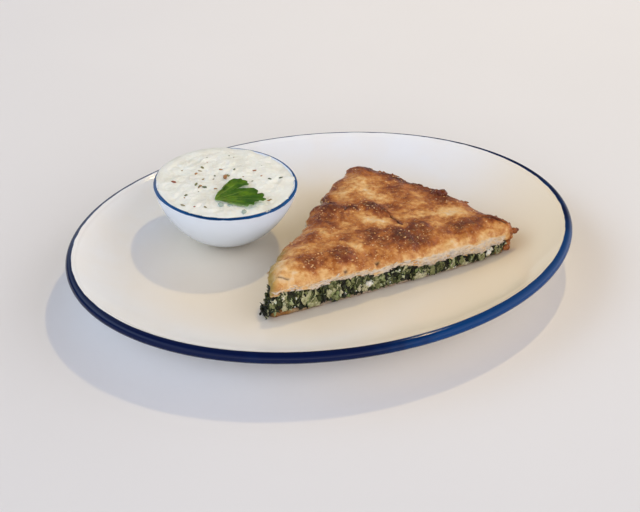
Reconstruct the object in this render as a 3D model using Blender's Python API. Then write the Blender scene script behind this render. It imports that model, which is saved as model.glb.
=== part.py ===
"""A wedge of spanakopita and a small bowl of yoghurt dip, served together on an oval plate.

Metres, +Z up. The origin is under the plate's centre, on the surface that it stands on. +X runs along
the plate's long axis, and the pie's long cut side faces -Y.
"""

import math

import bmesh
import bpy
from mathutils import Matrix, Vector, noise

# Clearance left between solids that touch in the real dish.
GAP = 0.0003

# Plate: an oval coupe of glazed stoneware with a round bead along its edge.
PLATE_HALF_LENGTH = 0.150
PLATE_HALF_WIDTH = 0.121
RIM_BEAD_RADIUS = 0.0030
RIM_TOP = 0.027
FLOOR_TOP = 0.007
FLOOR_THICKNESS = 0.0045
WALL_THICKNESS = 0.0042
FLAT_SHARE = 0.30
WALL_POWER = 4.2
FOOT_SHARE = 0.57
FOOT_HALF_WIDTH_SHARE = 0.018
PLATE_STEPS = 64

# Dip bowl: thrown round, on a low foot ring. It leans a little towards the plate's middle.
BOWL_X, BOWL_Y = -0.0450, 0.0460
BOWL_RADIUS = 0.0425
BOWL_HEIGHT = 0.0361
BOWL_WALL = 0.003
BOWL_FOOT_RADIUS = 0.0165
BOWL_FOOT_HEIGHT = 0.002
BOWL_OUTER_POWER = 1.5
BOWL_LEAN = math.radians(2.6)
BOWL_STEPS = 40

# Dip: fills the bowl to the brim and domes a little.
DIP_EDGE_DROP = 0.0009
DIP_DOME = 0.0026
DIP_RIPPLE = 0.0007

# Parsley leaf: a toothed fan lying on the dip. Each pair is a heading in degrees and a reach.
LEAF_BASE_X, LEAF_BASE_Y = -0.0580, 0.0268
LEAF_THICKNESS = 0.0008
LEAF_LIFT = math.radians(3)
LEAF_TIPS = (
    (-47, 0.0080), (-41, 0.0205), (-36, 0.0195), (-31, 0.0240), (-26, 0.0225), (-19, 0.0295),
    (-12, 0.0245), (-7, 0.0262), (-2, 0.0235), (4, 0.0252), (10, 0.0225), (16, 0.0205),
    (23, 0.0172), (30, 0.0225), (38, 0.0282), (42, 0.0240), (48, 0.0228), (54, 0.0150),
    (60, 0.0065),
)

# Pie wedge: (x, y, corner radius) round the outline, anticlockwise from the blunt tip's front corner.
PIE_CORNERS = (
    (-0.0540, -0.0490, 0.0045),
    (0.1070, -0.0420, 0.0050),
    (0.0440, 0.0630, 0.0080),
    (-0.0500, -0.0320, 0.0110),
)
RIM_SIDE = 1
RIM_SIDE_BULGE = 0.0050
PIE_CENTRE = Vector((0.030, -0.012))
PIE_STEPS = 64
PIE_TIP_HEIGHT, PIE_FRONT_HEIGHT, PIE_BACK_HEIGHT = 0.0185, 0.0130, 0.0205
PIE_CROWN = 0.0055
PIE_SHOULDER = 0.016
CRUST_RIPPLE = 0.0011
CRUST_RIPPLE_SCALE = 55.0
TOP_CRUST_THICKNESS = 0.0046
BASE_CRUST_THICKNESS = 0.0024
RIM_WALL = 0.0034


def clear_scene():
    """Removes whatever the file opened with."""
    for obj in list(bpy.data.objects):
        bpy.data.objects.remove(obj, do_unlink=True)


def make_material(name, colour, roughness):
    """A Principled material of one colour."""
    material = bpy.data.materials.new(name)
    material.use_nodes = True
    shader = material.node_tree.nodes["Principled BSDF"]
    shader.inputs["Base Color"].default_value = (*colour, 1.0)
    shader.inputs["Roughness"].default_value = roughness
    shader.inputs["Metallic"].default_value = 0.0
    return material


def add_object(name, mesh_data, material):
    """Turns a bmesh into a smooth-shaded object, with creases kept sharp."""
    bmesh.ops.recalc_face_normals(mesh_data, faces=mesh_data.faces)
    mesh = bpy.data.meshes.new(name)
    mesh_data.to_mesh(mesh)
    mesh_data.free()
    mesh.shade_smooth()
    mesh.set_sharp_from_angle(angle=math.radians(40))
    mesh.materials.append(material)
    obj = bpy.data.objects.new(name, mesh)
    bpy.context.scene.collection.objects.link(obj)
    return obj


def lofted(rings):
    """A closed bmesh through rings of equal point counts. A ring of one point is a pole."""
    mesh_data = bmesh.new()
    made = [[mesh_data.verts.new(point) for point in ring] for ring in rings]
    for low, high in zip(made, made[1:]):
        count = max(len(low), len(high))
        for i in range(count):
            j = (i + 1) % count
            if len(low) == 1:
                mesh_data.faces.new((low[0], high[j], high[i]))
            elif len(high) == 1:
                mesh_data.faces.new((low[i], low[j], high[0]))
            else:
                mesh_data.faces.new((low[i], low[j], high[j], high[i]))
    return mesh_data


def smooth_step(value):
    """0 to 1 with flat ends."""
    value = min(1.0, max(0.0, value))
    return value * value * (3.0 - 2.0 * value)


# --- plate -------------------------------------------------------------------------------------


def wall_end_share():
    """Where the well's wall runs into the bead, as a share of the half length."""
    inset = RIM_BEAD_RADIUS * (1.0 + math.cos(math.radians(45)))
    return (PLATE_HALF_LENGTH - inset) / PLATE_HALF_LENGTH


def plate_height_at_share(share):
    """Height of the plate's upper surface, from 0 at its centre to 1 at its edge."""
    rise = RIM_TOP - RIM_BEAD_RADIUS * (1.0 - math.sin(math.radians(45))) - FLOOR_TOP
    along = max(0.0, share - FLAT_SHARE) / (wall_end_share() - FLAT_SHARE)
    return FLOOR_TOP + rise * along**WALL_POWER


def plate_top(x, y):
    """Height of the plate's upper surface at a point in plan."""
    return plate_height_at_share(math.hypot(x / PLATE_HALF_LENGTH, y / PLATE_HALF_WIDTH))


def oval_ring(half_length, half_width, z, steps):
    """Points round an ellipse."""
    turns = (2.0 * math.pi * i / steps for i in range(steps))
    return [Vector((half_length * math.cos(t), half_width * math.sin(t), z)) for t in turns]


def build_plate(material):
    """The oval plate, turned as one closed loft: well, bead, underside and foot."""

    def at_share(share, z):
        return oval_ring(PLATE_HALF_LENGTH * share, PLATE_HALF_WIDTH * share, z, PLATE_STEPS)

    def on_bead(degrees):
        turn = math.radians(degrees)
        inset = RIM_BEAD_RADIUS * (1.0 - math.cos(turn))
        z = RIM_TOP - RIM_BEAD_RADIUS * (1.0 - math.sin(turn))
        return oval_ring(PLATE_HALF_LENGTH - inset, PLATE_HALF_WIDTH - inset, z, PLATE_STEPS)

    rings = [[Vector((0.0, 0.0, FLOOR_TOP))]]
    for share in (0.30, 0.52, 0.64, 0.73, 0.80, 0.86, 0.91):
        rings.append(at_share(share, plate_height_at_share(share)))
    for degrees in (135, 100, 65, 30, -5, -40, -80):
        rings.append(on_bead(degrees))
    for share in (0.93, 0.86, 0.78, 0.69):
        rings.append(at_share(share, plate_height_at_share(share) - WALL_THICKNESS))
    outer = FOOT_SHARE + FOOT_HALF_WIDTH_SHARE
    inner = FOOT_SHARE - FOOT_HALF_WIDTH_SHARE
    recess = FLOOR_TOP - FLOOR_THICKNESS
    rings.append(at_share(outer + 0.012, plate_height_at_share(outer) - WALL_THICKNESS))
    rings.append(at_share(outer, 0.0))
    rings.append(at_share(inner, 0.0))
    rings.append(at_share(inner - 0.012, recess))
    rings.append([Vector((0.0, 0.0, recess))])
    return add_object("plate", lofted(rings), material)


# --- bowl, dip and leaf ------------------------------------------------------------------------


def bowl_placement():
    """Moves the bowl's own frame onto the plate, leaning away from the plate's slope."""
    here = Vector((BOWL_X, BOWL_Y))
    outward = Vector((BOWL_X / PLATE_HALF_LENGTH**2, BOWL_Y / PLATE_HALF_WIDTH**2)).normalized()
    near = here - outward * BOWL_FOOT_RADIUS
    middle_height = plate_top(*near) + math.sin(BOWL_LEAN) * BOWL_FOOT_RADIUS + GAP
    axis = Vector((-outward.y, outward.x, 0.0))
    middle = Vector((here.x, here.y, middle_height))
    return Matrix.Translation(middle) @ Matrix.Rotation(-BOWL_LEAN, 4, axis)


def bowl_outer_radius(z):
    """Radius of the bowl's outside at a height in its own frame."""
    share = min(1.0, max(0.0, (z - BOWL_FOOT_HEIGHT) / (BOWL_HEIGHT - BOWL_FOOT_HEIGHT)))
    curve = (1.0 - (1.0 - share) ** BOWL_OUTER_POWER) ** (1.0 / BOWL_OUTER_POWER)
    return BOWL_FOOT_RADIUS + (BOWL_RADIUS - BOWL_FOOT_RADIUS) * curve


def bowl_inner_radius(z):
    """Radius of the bowl's inside at a height in its own frame."""
    floor = BOWL_FOOT_HEIGHT + BOWL_WALL
    share = min(1.0, max(0.0, (z - floor) / (BOWL_HEIGHT - floor)))
    curve = (1.0 - (1.0 - share) ** BOWL_OUTER_POWER) ** (1.0 / BOWL_OUTER_POWER)
    bottom = BOWL_FOOT_RADIUS - BOWL_WALL
    return bottom + (BOWL_RADIUS - BOWL_WALL - bottom) * curve


def round_ring(radius, z, steps=BOWL_STEPS):
    """Points round a circle about the bowl's axis."""
    return oval_ring(radius, radius, z, steps)


def build_bowl(material):
    """The bowl: foot ring, curved wall, a rounded lip and the same curve back inside."""
    lip = BOWL_WALL / 2.0
    wall_top = BOWL_HEIGHT - lip
    rings = [
        [Vector((0.0, 0.0, BOWL_FOOT_HEIGHT))],
        round_ring(BOWL_FOOT_RADIUS - 0.0035, BOWL_FOOT_HEIGHT),
        round_ring(BOWL_FOOT_RADIUS - 0.0025, 0.0),
        round_ring(BOWL_FOOT_RADIUS - 0.0003, 0.0),
    ]
    for share in (0.0, 0.05, 0.14, 0.28, 0.46, 0.68, 1.0):
        z = BOWL_FOOT_HEIGHT + (wall_top - BOWL_FOOT_HEIGHT) * share
        rings.append(round_ring(bowl_outer_radius(z), z))
    for degrees in (45, 90, 135):
        turn = math.radians(degrees)
        z = wall_top + lip * math.sin(turn)
        rings.append(round_ring(BOWL_RADIUS - lip + lip * math.cos(turn), z))
    floor = BOWL_FOOT_HEIGHT + BOWL_WALL
    for share in (1.0, 0.66, 0.42, 0.22, 0.08, 0.0):
        z = floor + (wall_top - floor) * share
        rings.append(round_ring(bowl_inner_radius(z), z))
    rings.append([Vector((0.0, 0.0, floor))])
    bowl = add_object("dip_bowl", lofted(rings), material)
    bowl.matrix_world = bowl_placement()
    return bowl


def dip_surface(x, y):
    """Height of the dip in the bowl's frame: level with the brim at its edge, domed and swirled."""
    edge = BOWL_RADIUS - BOWL_WALL - GAP
    share = min(1.0, math.hypot(x, y) / edge)
    swirl = noise.noise(Vector((x * 90.0, y * 90.0, 0.3))) * (1.0 - share**6)
    dome = DIP_DOME * (1.0 - share**4)
    return BOWL_HEIGHT - DIP_EDGE_DROP + dome + DIP_RIPPLE * swirl


def build_dip(material):
    """The dip, solid from the bowl's inside up to its surface."""
    floor = BOWL_FOOT_HEIGHT + BOWL_WALL
    wall_top = BOWL_HEIGHT - BOWL_WALL / 2.0
    rings = [[Vector((0.0, 0.0, floor + GAP))]]
    for share in (0.0, 0.08, 0.22, 0.42, 0.66, 0.97):
        z = floor + (wall_top - floor) * share
        rings.append(round_ring(bowl_inner_radius(z) - 3.0 * GAP, z + GAP))
    edge = BOWL_RADIUS - BOWL_WALL - 2.0 * GAP
    for share in (1.0, 0.93, 0.80, 0.60, 0.35):
        ring = round_ring(edge * share, 0.0)
        rings.append([Vector((p.x, p.y, dip_surface(p.x, p.y))) for p in ring])
    rings.append([Vector((0.0, 0.0, dip_surface(0.0, 0.0)))])
    dip = add_object("yoghurt_dip", lofted(rings), material)
    dip.matrix_world = bowl_placement()
    return dip


def build_leaf(material):
    """The parsley leaf: a thin toothed fan on the dip, lifted towards its tips."""
    outline = [Vector((0.0, 0.0))]
    for heading, reach in LEAF_TIPS:
        turn = math.radians(heading)
        outline.append(Vector((reach * math.cos(turn), reach * math.sin(turn))))
    mesh_data = bmesh.new()
    corners = [mesh_data.verts.new((p.x, p.y, 0.0)) for p in outline]
    face = mesh_data.faces.new(corners)
    raised = bmesh.ops.extrude_face_region(mesh_data, geom=[face])["geom"]
    lifted = [item for item in raised if isinstance(item, bmesh.types.BMVert)]
    bmesh.ops.translate(mesh_data, verts=lifted, vec=(0.0, 0.0, LEAF_THICKNESS))
    leaf = add_object("parsley_leaf", mesh_data, material)
    placement = bowl_placement()
    base = placement.inverted() @ Vector((LEAF_BASE_X, LEAF_BASE_Y, 0.0))
    resting = placement @ Vector((base.x, base.y, BOWL_HEIGHT + DIP_DOME + GAP))
    leaf.matrix_world = Matrix.Translation(resting) @ Matrix.Rotation(-LEAF_LIFT, 4, "Y")
    return leaf


# --- pie ---------------------------------------------------------------------------------------


def rounded_corner(before, corner, after, radius, steps):
    """Points on the arc that rounds one corner of a polygon."""
    back = (before - corner).normalized()
    ahead = (after - corner).normalized()
    half = back.angle(ahead) / 2.0
    reach = radius / math.tan(half)
    centre = corner + (back + ahead).normalized() * (radius / math.sin(half))
    start = corner + back * reach - centre
    end = corner + ahead * reach - centre
    sweep = start.angle_signed(end)
    turns = (sweep * i / steps for i in range(steps + 1))
    return [centre + Matrix.Rotation(-turn, 2) @ start for turn in turns]


def pie_path():
    """The wedge's outline as a fine closed path of (point, share of the rim side's look)."""
    corners = [Vector(corner[:2]) for corner in PIE_CORNERS]
    path = []
    for i, (x, y, radius) in enumerate(PIE_CORNERS):
        here, after = Vector((x, y)), corners[(i + 1) % len(corners)]
        path += rounded_corner(corners[i - 1], here, after, radius, 8)
    start, end = corners[RIM_SIDE], corners[RIM_SIDE + 1]
    side = end - start
    outward = Vector((side.y, -side.x)).normalized()
    found = []
    for a, b in zip(path, path[1:] + path[:1]):
        pieces = max(1, round((b - a).length / 0.002))
        for k in range(pieces):
            point = a.lerp(b, k / pieces)
            along = (point - start).dot(side) / side.length_squared
            away = abs((point - start).dot(outward))
            bow = math.sin(math.pi * min(1.0, max(0.0, along)))
            near = 1.0 - smooth_step(away / 0.012)
            found.append((point + outward * RIM_SIDE_BULGE * bow * near, near))
    return found


def pie_outline():
    """PIE_STEPS points evenly spaced round the wedge, each with its rim share from 0 to 1."""
    path = pie_path()
    lengths = [0.0]
    for (a, _), (b, _) in zip(path, path[1:] + path[:1]):
        lengths.append(lengths[-1] + (b - a).length)
    total, k, found = lengths[-1], 0, []
    for i in range(PIE_STEPS):
        wanted = total * i / PIE_STEPS
        while lengths[k + 1] < wanted:
            k += 1
        share = (wanted - lengths[k]) / (lengths[k + 1] - lengths[k])
        (a, rim_a), (b, rim_b) = path[k], path[(k + 1) % len(path)]
        found.append((a.lerp(b, share), rim_a + (rim_b - rim_a) * share))
    return found


def inset_point(point, distance):
    """A point moved towards the wedge's middle."""
    return point + (PIE_CENTRE - point).normalized() * distance


def distance_to_edge(point, outline):
    """How far inside the outline a point lies."""
    nearest = math.inf
    for (a, _), (b, _) in zip(outline, outline[1:] + outline[:1]):
        side = b - a
        along = min(1.0, max(0.0, (point - a).dot(side) / side.length_squared))
        nearest = min(nearest, (point - a.lerp(b, along)).length)
    return nearest


class Wedge:
    """The pie's outline in plan and the heights of its layers."""

    def __init__(self):
        self.outline = pie_outline()
        self.inner = []
        for point, rim in self.outline:
            inset = 0.0002 + (RIM_WALL + 0.0014) * smooth_step(3.0 * rim)
            self.inner.append((inset_point(point, inset), rim))

    def floor(self, point):
        """The underside, which lies along the plate."""
        return plate_top(point.x, point.y) + GAP

    def base_top(self, point):
        """The base crust's upper face."""
        return self.floor(point) + BASE_CRUST_THICKNESS

    def edge_height(self, point):
        """The pie's height at its edge, on a slope through its three corners."""
        tip, front, back = (Vector(corner[:2]) for corner in PIE_CORNERS[:3])
        ahead, aside, here = front - tip, back - tip, point - tip
        area = ahead.cross(aside)
        rise_front = (PIE_FRONT_HEIGHT - PIE_TIP_HEIGHT) * here.cross(aside) / area
        rise_back = (PIE_BACK_HEIGHT - PIE_TIP_HEIGHT) * ahead.cross(here) / area
        return PIE_TIP_HEIGHT + rise_front + rise_back

    def top(self, point):
        """The baked surface: crowned in the middle and rippled."""
        edge = self.edge_height(point)
        inward = min(1.0, distance_to_edge(point, self.outline) / PIE_SHOULDER)
        crown = PIE_CROWN * (1.0 - (1.0 - inward) ** 2)
        ripple = noise.noise(Vector((point.x, point.y, 0.0)) * CRUST_RIPPLE_SCALE)
        return self.floor(point) + edge + crown + CRUST_RIPPLE * ripple

    def crust_under(self, point):
        """The top crust's underside."""
        return self.top(point) - TOP_CRUST_THICKNESS

    def filling_top(self, point):
        """The filling's upper face, just under the crust."""
        return self.crust_under(point) - 2.0 * GAP

    def filling_under(self, point):
        """The filling's lower face, just over the base crust."""
        return self.base_top(point) + GAP


def ring_at(points, share, height):
    """One ring of the wedge: an outline shrunk towards the middle, at heights from a function."""
    ring = []
    for point, _ in points:
        here = PIE_CENTRE.lerp(point, share)
        ring.append(Vector((here.x, here.y, height(here))))
    return ring


def pole_at(height):
    """The middle point of a stack of rings."""
    return [Vector((PIE_CENTRE.x, PIE_CENTRE.y, height(PIE_CENTRE)))]


def build_top_crust(wedge, material):
    """The top crust: a thick sheet whose rim side folds down to the base crust."""
    rings = [pole_at(wedge.top)]
    for share in (0.30, 0.55, 0.74, 0.87, 0.95, 1.0):
        rings.append(ring_at(wedge.outline, share, wedge.top))
    skirt, foot, inside = [], [], []
    for point, rim in wedge.outline:
        fold = smooth_step(rim)
        sheet = wedge.crust_under(point)
        low = sheet + (wedge.base_top(point) + GAP - sheet) * fold
        inner = inset_point(point, 0.0004 + RIM_WALL * fold)
        deep = inset_point(point, 0.0008 + RIM_WALL * fold)
        skirt.append(Vector((point.x, point.y, low)))
        foot.append(Vector((inner.x, inner.y, low)))
        inside.append(Vector((deep.x, deep.y, wedge.crust_under(deep))))
    rings += [skirt, foot, inside]
    for share in (0.93, 0.78, 0.45):
        rings.append(ring_at(wedge.inner, share, wedge.crust_under))
    rings.append(pole_at(wedge.crust_under))
    return add_object("pie_top_crust", lofted(rings), material)


def build_filling(wedge, material):
    """The spinach and feta: fills the space between the crusts up to the folded rim."""
    rings = [pole_at(wedge.filling_under)]
    for share in (0.60, 1.0):
        rings.append(ring_at(wedge.inner, share, wedge.filling_under))
    for share in (1.0, 0.93, 0.78, 0.45):
        rings.append(ring_at(wedge.inner, share, wedge.filling_top))
    rings.append(pole_at(wedge.filling_top))
    return add_object("pie_filling", lofted(rings), material)


def build_base_crust(wedge, material):
    """The base crust: a thin sheet along the plate."""
    rings = [pole_at(wedge.floor)]
    for share in (0.35, 0.60, 0.80, 0.92, 0.99):
        rings.append(ring_at(wedge.outline, share, wedge.floor))
    rings.append(ring_at(wedge.outline, 1.0, lambda p: wedge.floor(p) + BASE_CRUST_THICKNESS / 2.0))
    for share in (0.99, 0.80, 0.60):
        rings.append(ring_at(wedge.outline, share, wedge.base_top))
    rings.append(pole_at(wedge.base_top))
    return add_object("pie_base_crust", lofted(rings), material)


def main():
    """Builds the dish."""
    clear_scene()
    glaze = make_material("white_glaze", (0.78, 0.75, 0.70), 0.15)
    bowl_glaze = make_material("bowl_glaze", (0.74, 0.77, 0.82), 0.15)
    yoghurt = make_material("yoghurt", (0.82, 0.80, 0.72), 0.45)
    parsley = make_material("parsley", (0.10, 0.20, 0.03), 0.5)
    baked = make_material("baked_dough", (0.55, 0.27, 0.09), 0.45)
    greens = make_material("spinach_and_feta", (0.10, 0.13, 0.05), 0.5)
    pale = make_material("pale_dough", (0.55, 0.38, 0.20), 0.6)
    build_plate(glaze)
    build_bowl(bowl_glaze)
    build_dip(yoghurt)
    build_leaf(parsley)
    wedge = Wedge()
    build_base_crust(wedge, pale)
    build_filling(wedge, greens)
    build_top_crust(wedge, baked)


if __name__ == "__main__":
    main()
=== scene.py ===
"""Looks for a wedge of spanakopita on an oval plate, with a small bowl of yoghurt dip.

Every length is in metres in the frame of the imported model: the origin is under the plate's centre and
+X runs along its long axis. Sizes given in millimetres are turned to metres by MM.
"""

import logging
import math
from dataclasses import dataclass, field
from enum import Enum
from typing import Callable, NamedTuple, Sequence

import bmesh
import bpy
import numpy as np
from mathutils import Matrix, Vector


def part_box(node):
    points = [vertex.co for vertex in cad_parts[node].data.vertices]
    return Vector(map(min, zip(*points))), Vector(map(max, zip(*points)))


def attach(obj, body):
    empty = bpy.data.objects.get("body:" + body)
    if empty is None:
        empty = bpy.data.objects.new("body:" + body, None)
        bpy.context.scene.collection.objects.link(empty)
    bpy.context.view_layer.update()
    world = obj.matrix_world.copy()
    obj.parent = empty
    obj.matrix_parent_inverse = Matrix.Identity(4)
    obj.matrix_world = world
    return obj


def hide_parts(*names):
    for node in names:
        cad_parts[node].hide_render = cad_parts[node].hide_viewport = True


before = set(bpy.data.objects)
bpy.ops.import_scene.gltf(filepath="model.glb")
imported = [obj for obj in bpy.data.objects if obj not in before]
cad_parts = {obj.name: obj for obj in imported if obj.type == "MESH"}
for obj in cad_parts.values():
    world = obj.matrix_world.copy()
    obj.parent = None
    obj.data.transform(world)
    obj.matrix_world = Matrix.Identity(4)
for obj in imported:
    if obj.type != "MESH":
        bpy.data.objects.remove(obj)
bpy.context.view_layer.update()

MM = 0.001
BODY = "root"
log = logging.getLogger("spanakopita")

# A depth inside the painted band, in millimetres, for points that are nowhere near it.
OFF_BAND = -40.0


# --- numbers and noise -------------------------------------------------------------------------


def linear(colour: str) -> tuple[float, float, float, float]:
    """Turns an sRGB hex colour such as "c89c64" to linear light with full alpha."""
    parts = [int(colour[i:i + 2], 16) / 255.0 for i in (0, 2, 4)]
    light = [p / 12.92 if p <= 0.04045 else ((p + 0.055) / 1.055) ** 2.4 for p in parts]
    return (*light, 1.0)


def ease(value: np.ndarray, low: float = 0.0, high: float = 1.0) -> np.ndarray:
    """Goes smoothly from 0 at low to 1 at high, with flat ends."""
    share = np.clip((value - low) / (high - low), 0.0, 1.0)
    return share * share * (3.0 - 2.0 * share)


class Noise:
    """Seeded gradient noise over points in space."""

    def __init__(self, seed: int) -> None:
        """Shuffles the lattice and its slopes from a seed."""
        rng = np.random.default_rng(seed)
        order = rng.permutation(256)
        self.order = np.concatenate([order, order, order])
        slopes = rng.normal(size=(256, 3))
        self.slopes = slopes / np.linalg.norm(slopes, axis=1, keepdims=True)

    def at(self, points: np.ndarray, size: float) -> np.ndarray:
        """Noise of one size.

        Args:
            points: Places, as rows of x, y, z in metres.
            size: Spacing of the lattice, in metres.
        Returns:
            One value per point, within about 1 of zero.
        """
        scaled = points / size
        cell = np.floor(scaled).astype(int)
        part = scaled - cell
        blend = part * part * part * (part * (part * 6.0 - 15.0) + 10.0)
        total = np.zeros(len(points))
        for corner in np.ndindex(2, 2, 2):
            key = cell + corner
            index = self.order[(key[:, 0] & 255)]
            index = self.order[index + (key[:, 1] & 255)]
            index = self.order[index + (key[:, 2] & 255)]
            push = (self.slopes[index] * (part - corner)).sum(1)
            weight = np.where(np.array(corner) == 1, blend, 1.0 - blend).prod(1)
            total += weight * push
        return total * 1.6

    def layered(self, points: np.ndarray, size: float, layers: int = 3) -> np.ndarray:
        """Sums noise of halving sizes and halving strengths."""
        return sum(self.at(points + 7.3 * k * size, size / 2**k) / 2**k for k in range(layers))


# --- meshes ------------------------------------------------------------------------------------


def make_mesh(
    name: str,
    points: np.ndarray,
    faces: Sequence,
    material: bpy.types.Material,
    values: dict[str, np.ndarray] | None = None,
) -> bpy.types.Object:
    """Makes one smooth-shaded mesh object.

    Args:
        name: Name of the piece.
        points: Vertices in the model's frame.
        faces: Lists of vertex numbers.
        material: Its only material.
        values: Numbers per vertex that the material reads by name.
    Returns:
        The new object, linked to the scene.
    """
    mesh = bpy.data.meshes.new(name)
    mesh.from_pydata(np.asarray(points).tolist(), [], faces)
    for key, numbers in (values or {}).items():
        layer = mesh.attributes.new(key, "FLOAT", "POINT")
        layer.data.foreach_set("value", np.asarray(numbers, np.float32))
    mesh.shade_smooth()
    mesh.materials.append(material)
    mesh.update()
    piece = bpy.data.objects.new(name, mesh)
    bpy.context.scene.collection.objects.link(piece)
    return piece


def ring_faces(rings: int, around: int, closed: bool = True) -> list[list[int]]:
    """Quads between neighbouring rings of points.

    Args:
        rings: Number of rings.
        around: Points in each ring.
        closed: Whether each ring joins its end to its start.
    Returns:
        The quads, which face outwards for rings that turn anticlockwise and go up.
    """
    steps = np.arange(around if closed else around - 1)
    after = (steps + 1) % around
    found = []
    for k in range(rings - 1):
        low, high = k * around, (k + 1) * around
        quads = np.stack([low + steps, low + after, high + after, high + steps], 1)
        found += quads.tolist()
    return found


def loft(rings: np.ndarray, start: np.ndarray, end: np.ndarray) -> tuple[np.ndarray, list[list[int]]]:
    """Closes a stack of rings with a pole at each end.

    Args:
        rings: Array of ring, point round the ring, and x, y, z. The first ring is the lowest.
        start: The pole before the first ring.
        end: The pole after the last ring.
    Returns:
        Points and faces of the closed surface.
    """
    count, around = rings.shape[:2]
    points = np.concatenate([rings.reshape(-1, 3), [start], [end]])
    faces = ring_faces(count, around)
    low, high, last = count * around, count * around + 1, (count - 1) * around
    for i in range(around):
        j = (i + 1) % around
        faces.append([low, j, i])
        faces.append([high, last + i, last + j])
    return points, faces


class Heap:
    """Gathers many small shapes into one mesh, with a tone for each."""

    def __init__(self) -> None:
        """Starts empty."""
        self.points: list[np.ndarray] = []
        self.faces: list[list[int]] = []
        self.tones: list[np.ndarray] = []
        self.count = 0

    def add(self, points: np.ndarray, faces: list[list[int]], tone: float | np.ndarray) -> None:
        """Adds one shape with a tone, or a tone for each of its points."""
        self.points.append(points)
        self.faces += [[i + self.count for i in face] for face in faces]
        self.tones.append(np.broadcast_to(tone, len(points)))
        self.count += len(points)

    def finish(self, name: str, material: bpy.types.Material) -> bpy.types.Object:
        """Makes the mesh."""
        tones = {"tone": np.concatenate(self.tones)}
        return make_mesh(name, np.concatenate(self.points), self.faces, material, tones)


def turned(rng: np.random.Generator) -> np.ndarray:
    """A random rotation as a 3 by 3 array."""
    yaw, pitch, roll = rng.uniform(-math.pi, math.pi, 3)
    turn = Matrix.Rotation(yaw, 3, "Z") @ Matrix.Rotation(pitch, 3, "Y") @ Matrix.Rotation(roll, 3, "X")
    return np.array(turn)


# --- materials ---------------------------------------------------------------------------------


def add_node(
    tree: bpy.types.NodeTree, kind: str, inputs: dict | None = None, **settings
) -> bpy.types.Node:
    """Adds one shader node with its settings and links.

    Args:
        tree: Tree that it goes in.
        kind: Blender's name for its type, without "ShaderNode".
        inputs: Socket name or number, to a value or to the output socket that feeds it.
        settings: Properties of the node itself.
    Returns:
        The node.
    """
    node = tree.nodes.new("ShaderNode" + kind)
    for key, value in settings.items():
        setattr(node, key, value)
    for key, value in (inputs or {}).items():
        if isinstance(value, bpy.types.NodeSocket):
            tree.links.new(value, node.inputs[key])
        else:
            node.inputs[key].default_value = value
    return node


def add_ramp(tree: bpy.types.NodeTree, factor: bpy.types.NodeSocket, stops: Sequence) -> bpy.types.NodeSocket:
    """Adds a colour ramp.

    Args:
        tree: Tree that it goes in.
        factor: Output socket that feeds it.
        stops: Pairs of place from 0 to 1 and sRGB hex colour.
    Returns:
        Its colour output.
    """
    ramp = add_node(tree, "ValToRGB", {"Fac": factor})
    while len(ramp.color_ramp.elements) < len(stops):
        ramp.color_ramp.elements.new(0.5)
    for element, (place, colour) in zip(ramp.color_ramp.elements, stops):
        element.position = place
        element.color = linear(colour)
    return ramp.outputs["Color"]


def start_material(
    name: str, **constants: float
) -> tuple[bpy.types.Material, bpy.types.NodeTree, bpy.types.Node]:
    """Makes a Principled material.

    Args:
        name: Name of the finish.
        constants: Values of its sockets, with _ for a space.
    Returns:
        The material, its node tree and its shader node.
    """
    material = bpy.data.materials.new(name)
    material.use_nodes = True
    tree = material.node_tree
    shader = tree.nodes["Principled BSDF"]
    for key, value in constants.items():
        shader.inputs[key.replace("_", " ")].default_value = value
    return material, tree, shader


def place(tree: bpy.types.NodeTree) -> bpy.types.NodeSocket:
    """The point on the piece, in metres in the model's frame."""
    return add_node(tree, "TexCoord").outputs["Object"]


def cloud(
    tree: bpy.types.NodeTree, size_mm: float, detail: float = 3.0, rough: float = 0.5
) -> bpy.types.NodeSocket:
    """Noise whose blotches are about size_mm across."""
    inputs = {"Vector": place(tree), "Scale": 1.0 / (size_mm * MM), "Detail": detail, "Roughness": rough}
    return add_node(tree, "TexNoise", inputs).outputs["Fac"]


def number(tree: bpy.types.NodeTree, name: str) -> bpy.types.NodeSocket:
    """A value stored on the mesh's vertices."""
    return add_node(tree, "Attribute", attribute_name=name).outputs["Fac"]


def maths(tree: bpy.types.NodeTree, operation: str, *values) -> bpy.types.NodeSocket:
    """A sum, product or other step on values or sockets."""
    return add_node(tree, "Math", dict(enumerate(values)), operation=operation).outputs["Value"]


def mixed(tree: bpy.types.NodeTree, factor, first, second) -> bpy.types.NodeSocket:
    """Mixes two colours, each an output socket or a linear colour."""
    return add_node(tree, "Mix", {0: factor, 6: first, 7: second}, data_type="RGBA").outputs[2]


def span(tree: bpy.types.NodeTree, value, low: float, high: float, to_low: float = 0.0, to_high: float = 1.0):
    """Maps a range of a value smoothly onto another range."""
    inputs = {"Value": value, "From Min": low, "From Max": high, "To Min": to_low, "To Max": to_high}
    return add_node(tree, "MapRange", inputs, interpolation_type="SMOOTHSTEP").outputs["Result"]


def relief(tree: bpy.types.NodeTree, shader: bpy.types.Node, layers: Sequence) -> None:
    """Gives a shader fine relief.

    Args:
        tree: Tree that the shader is in.
        shader: The Principled node.
        layers: Pairs of height socket and depth in millimetres.
    """
    normal = None
    for height, depth in layers:
        inputs = {"Height": height, "Strength": 1.0, "Distance": depth * MM}
        if normal is not None:
            inputs["Normal"] = normal
        normal = add_node(tree, "Bump", inputs).outputs["Normal"]
    tree.links.new(normal, shader.inputs["Normal"])


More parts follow.
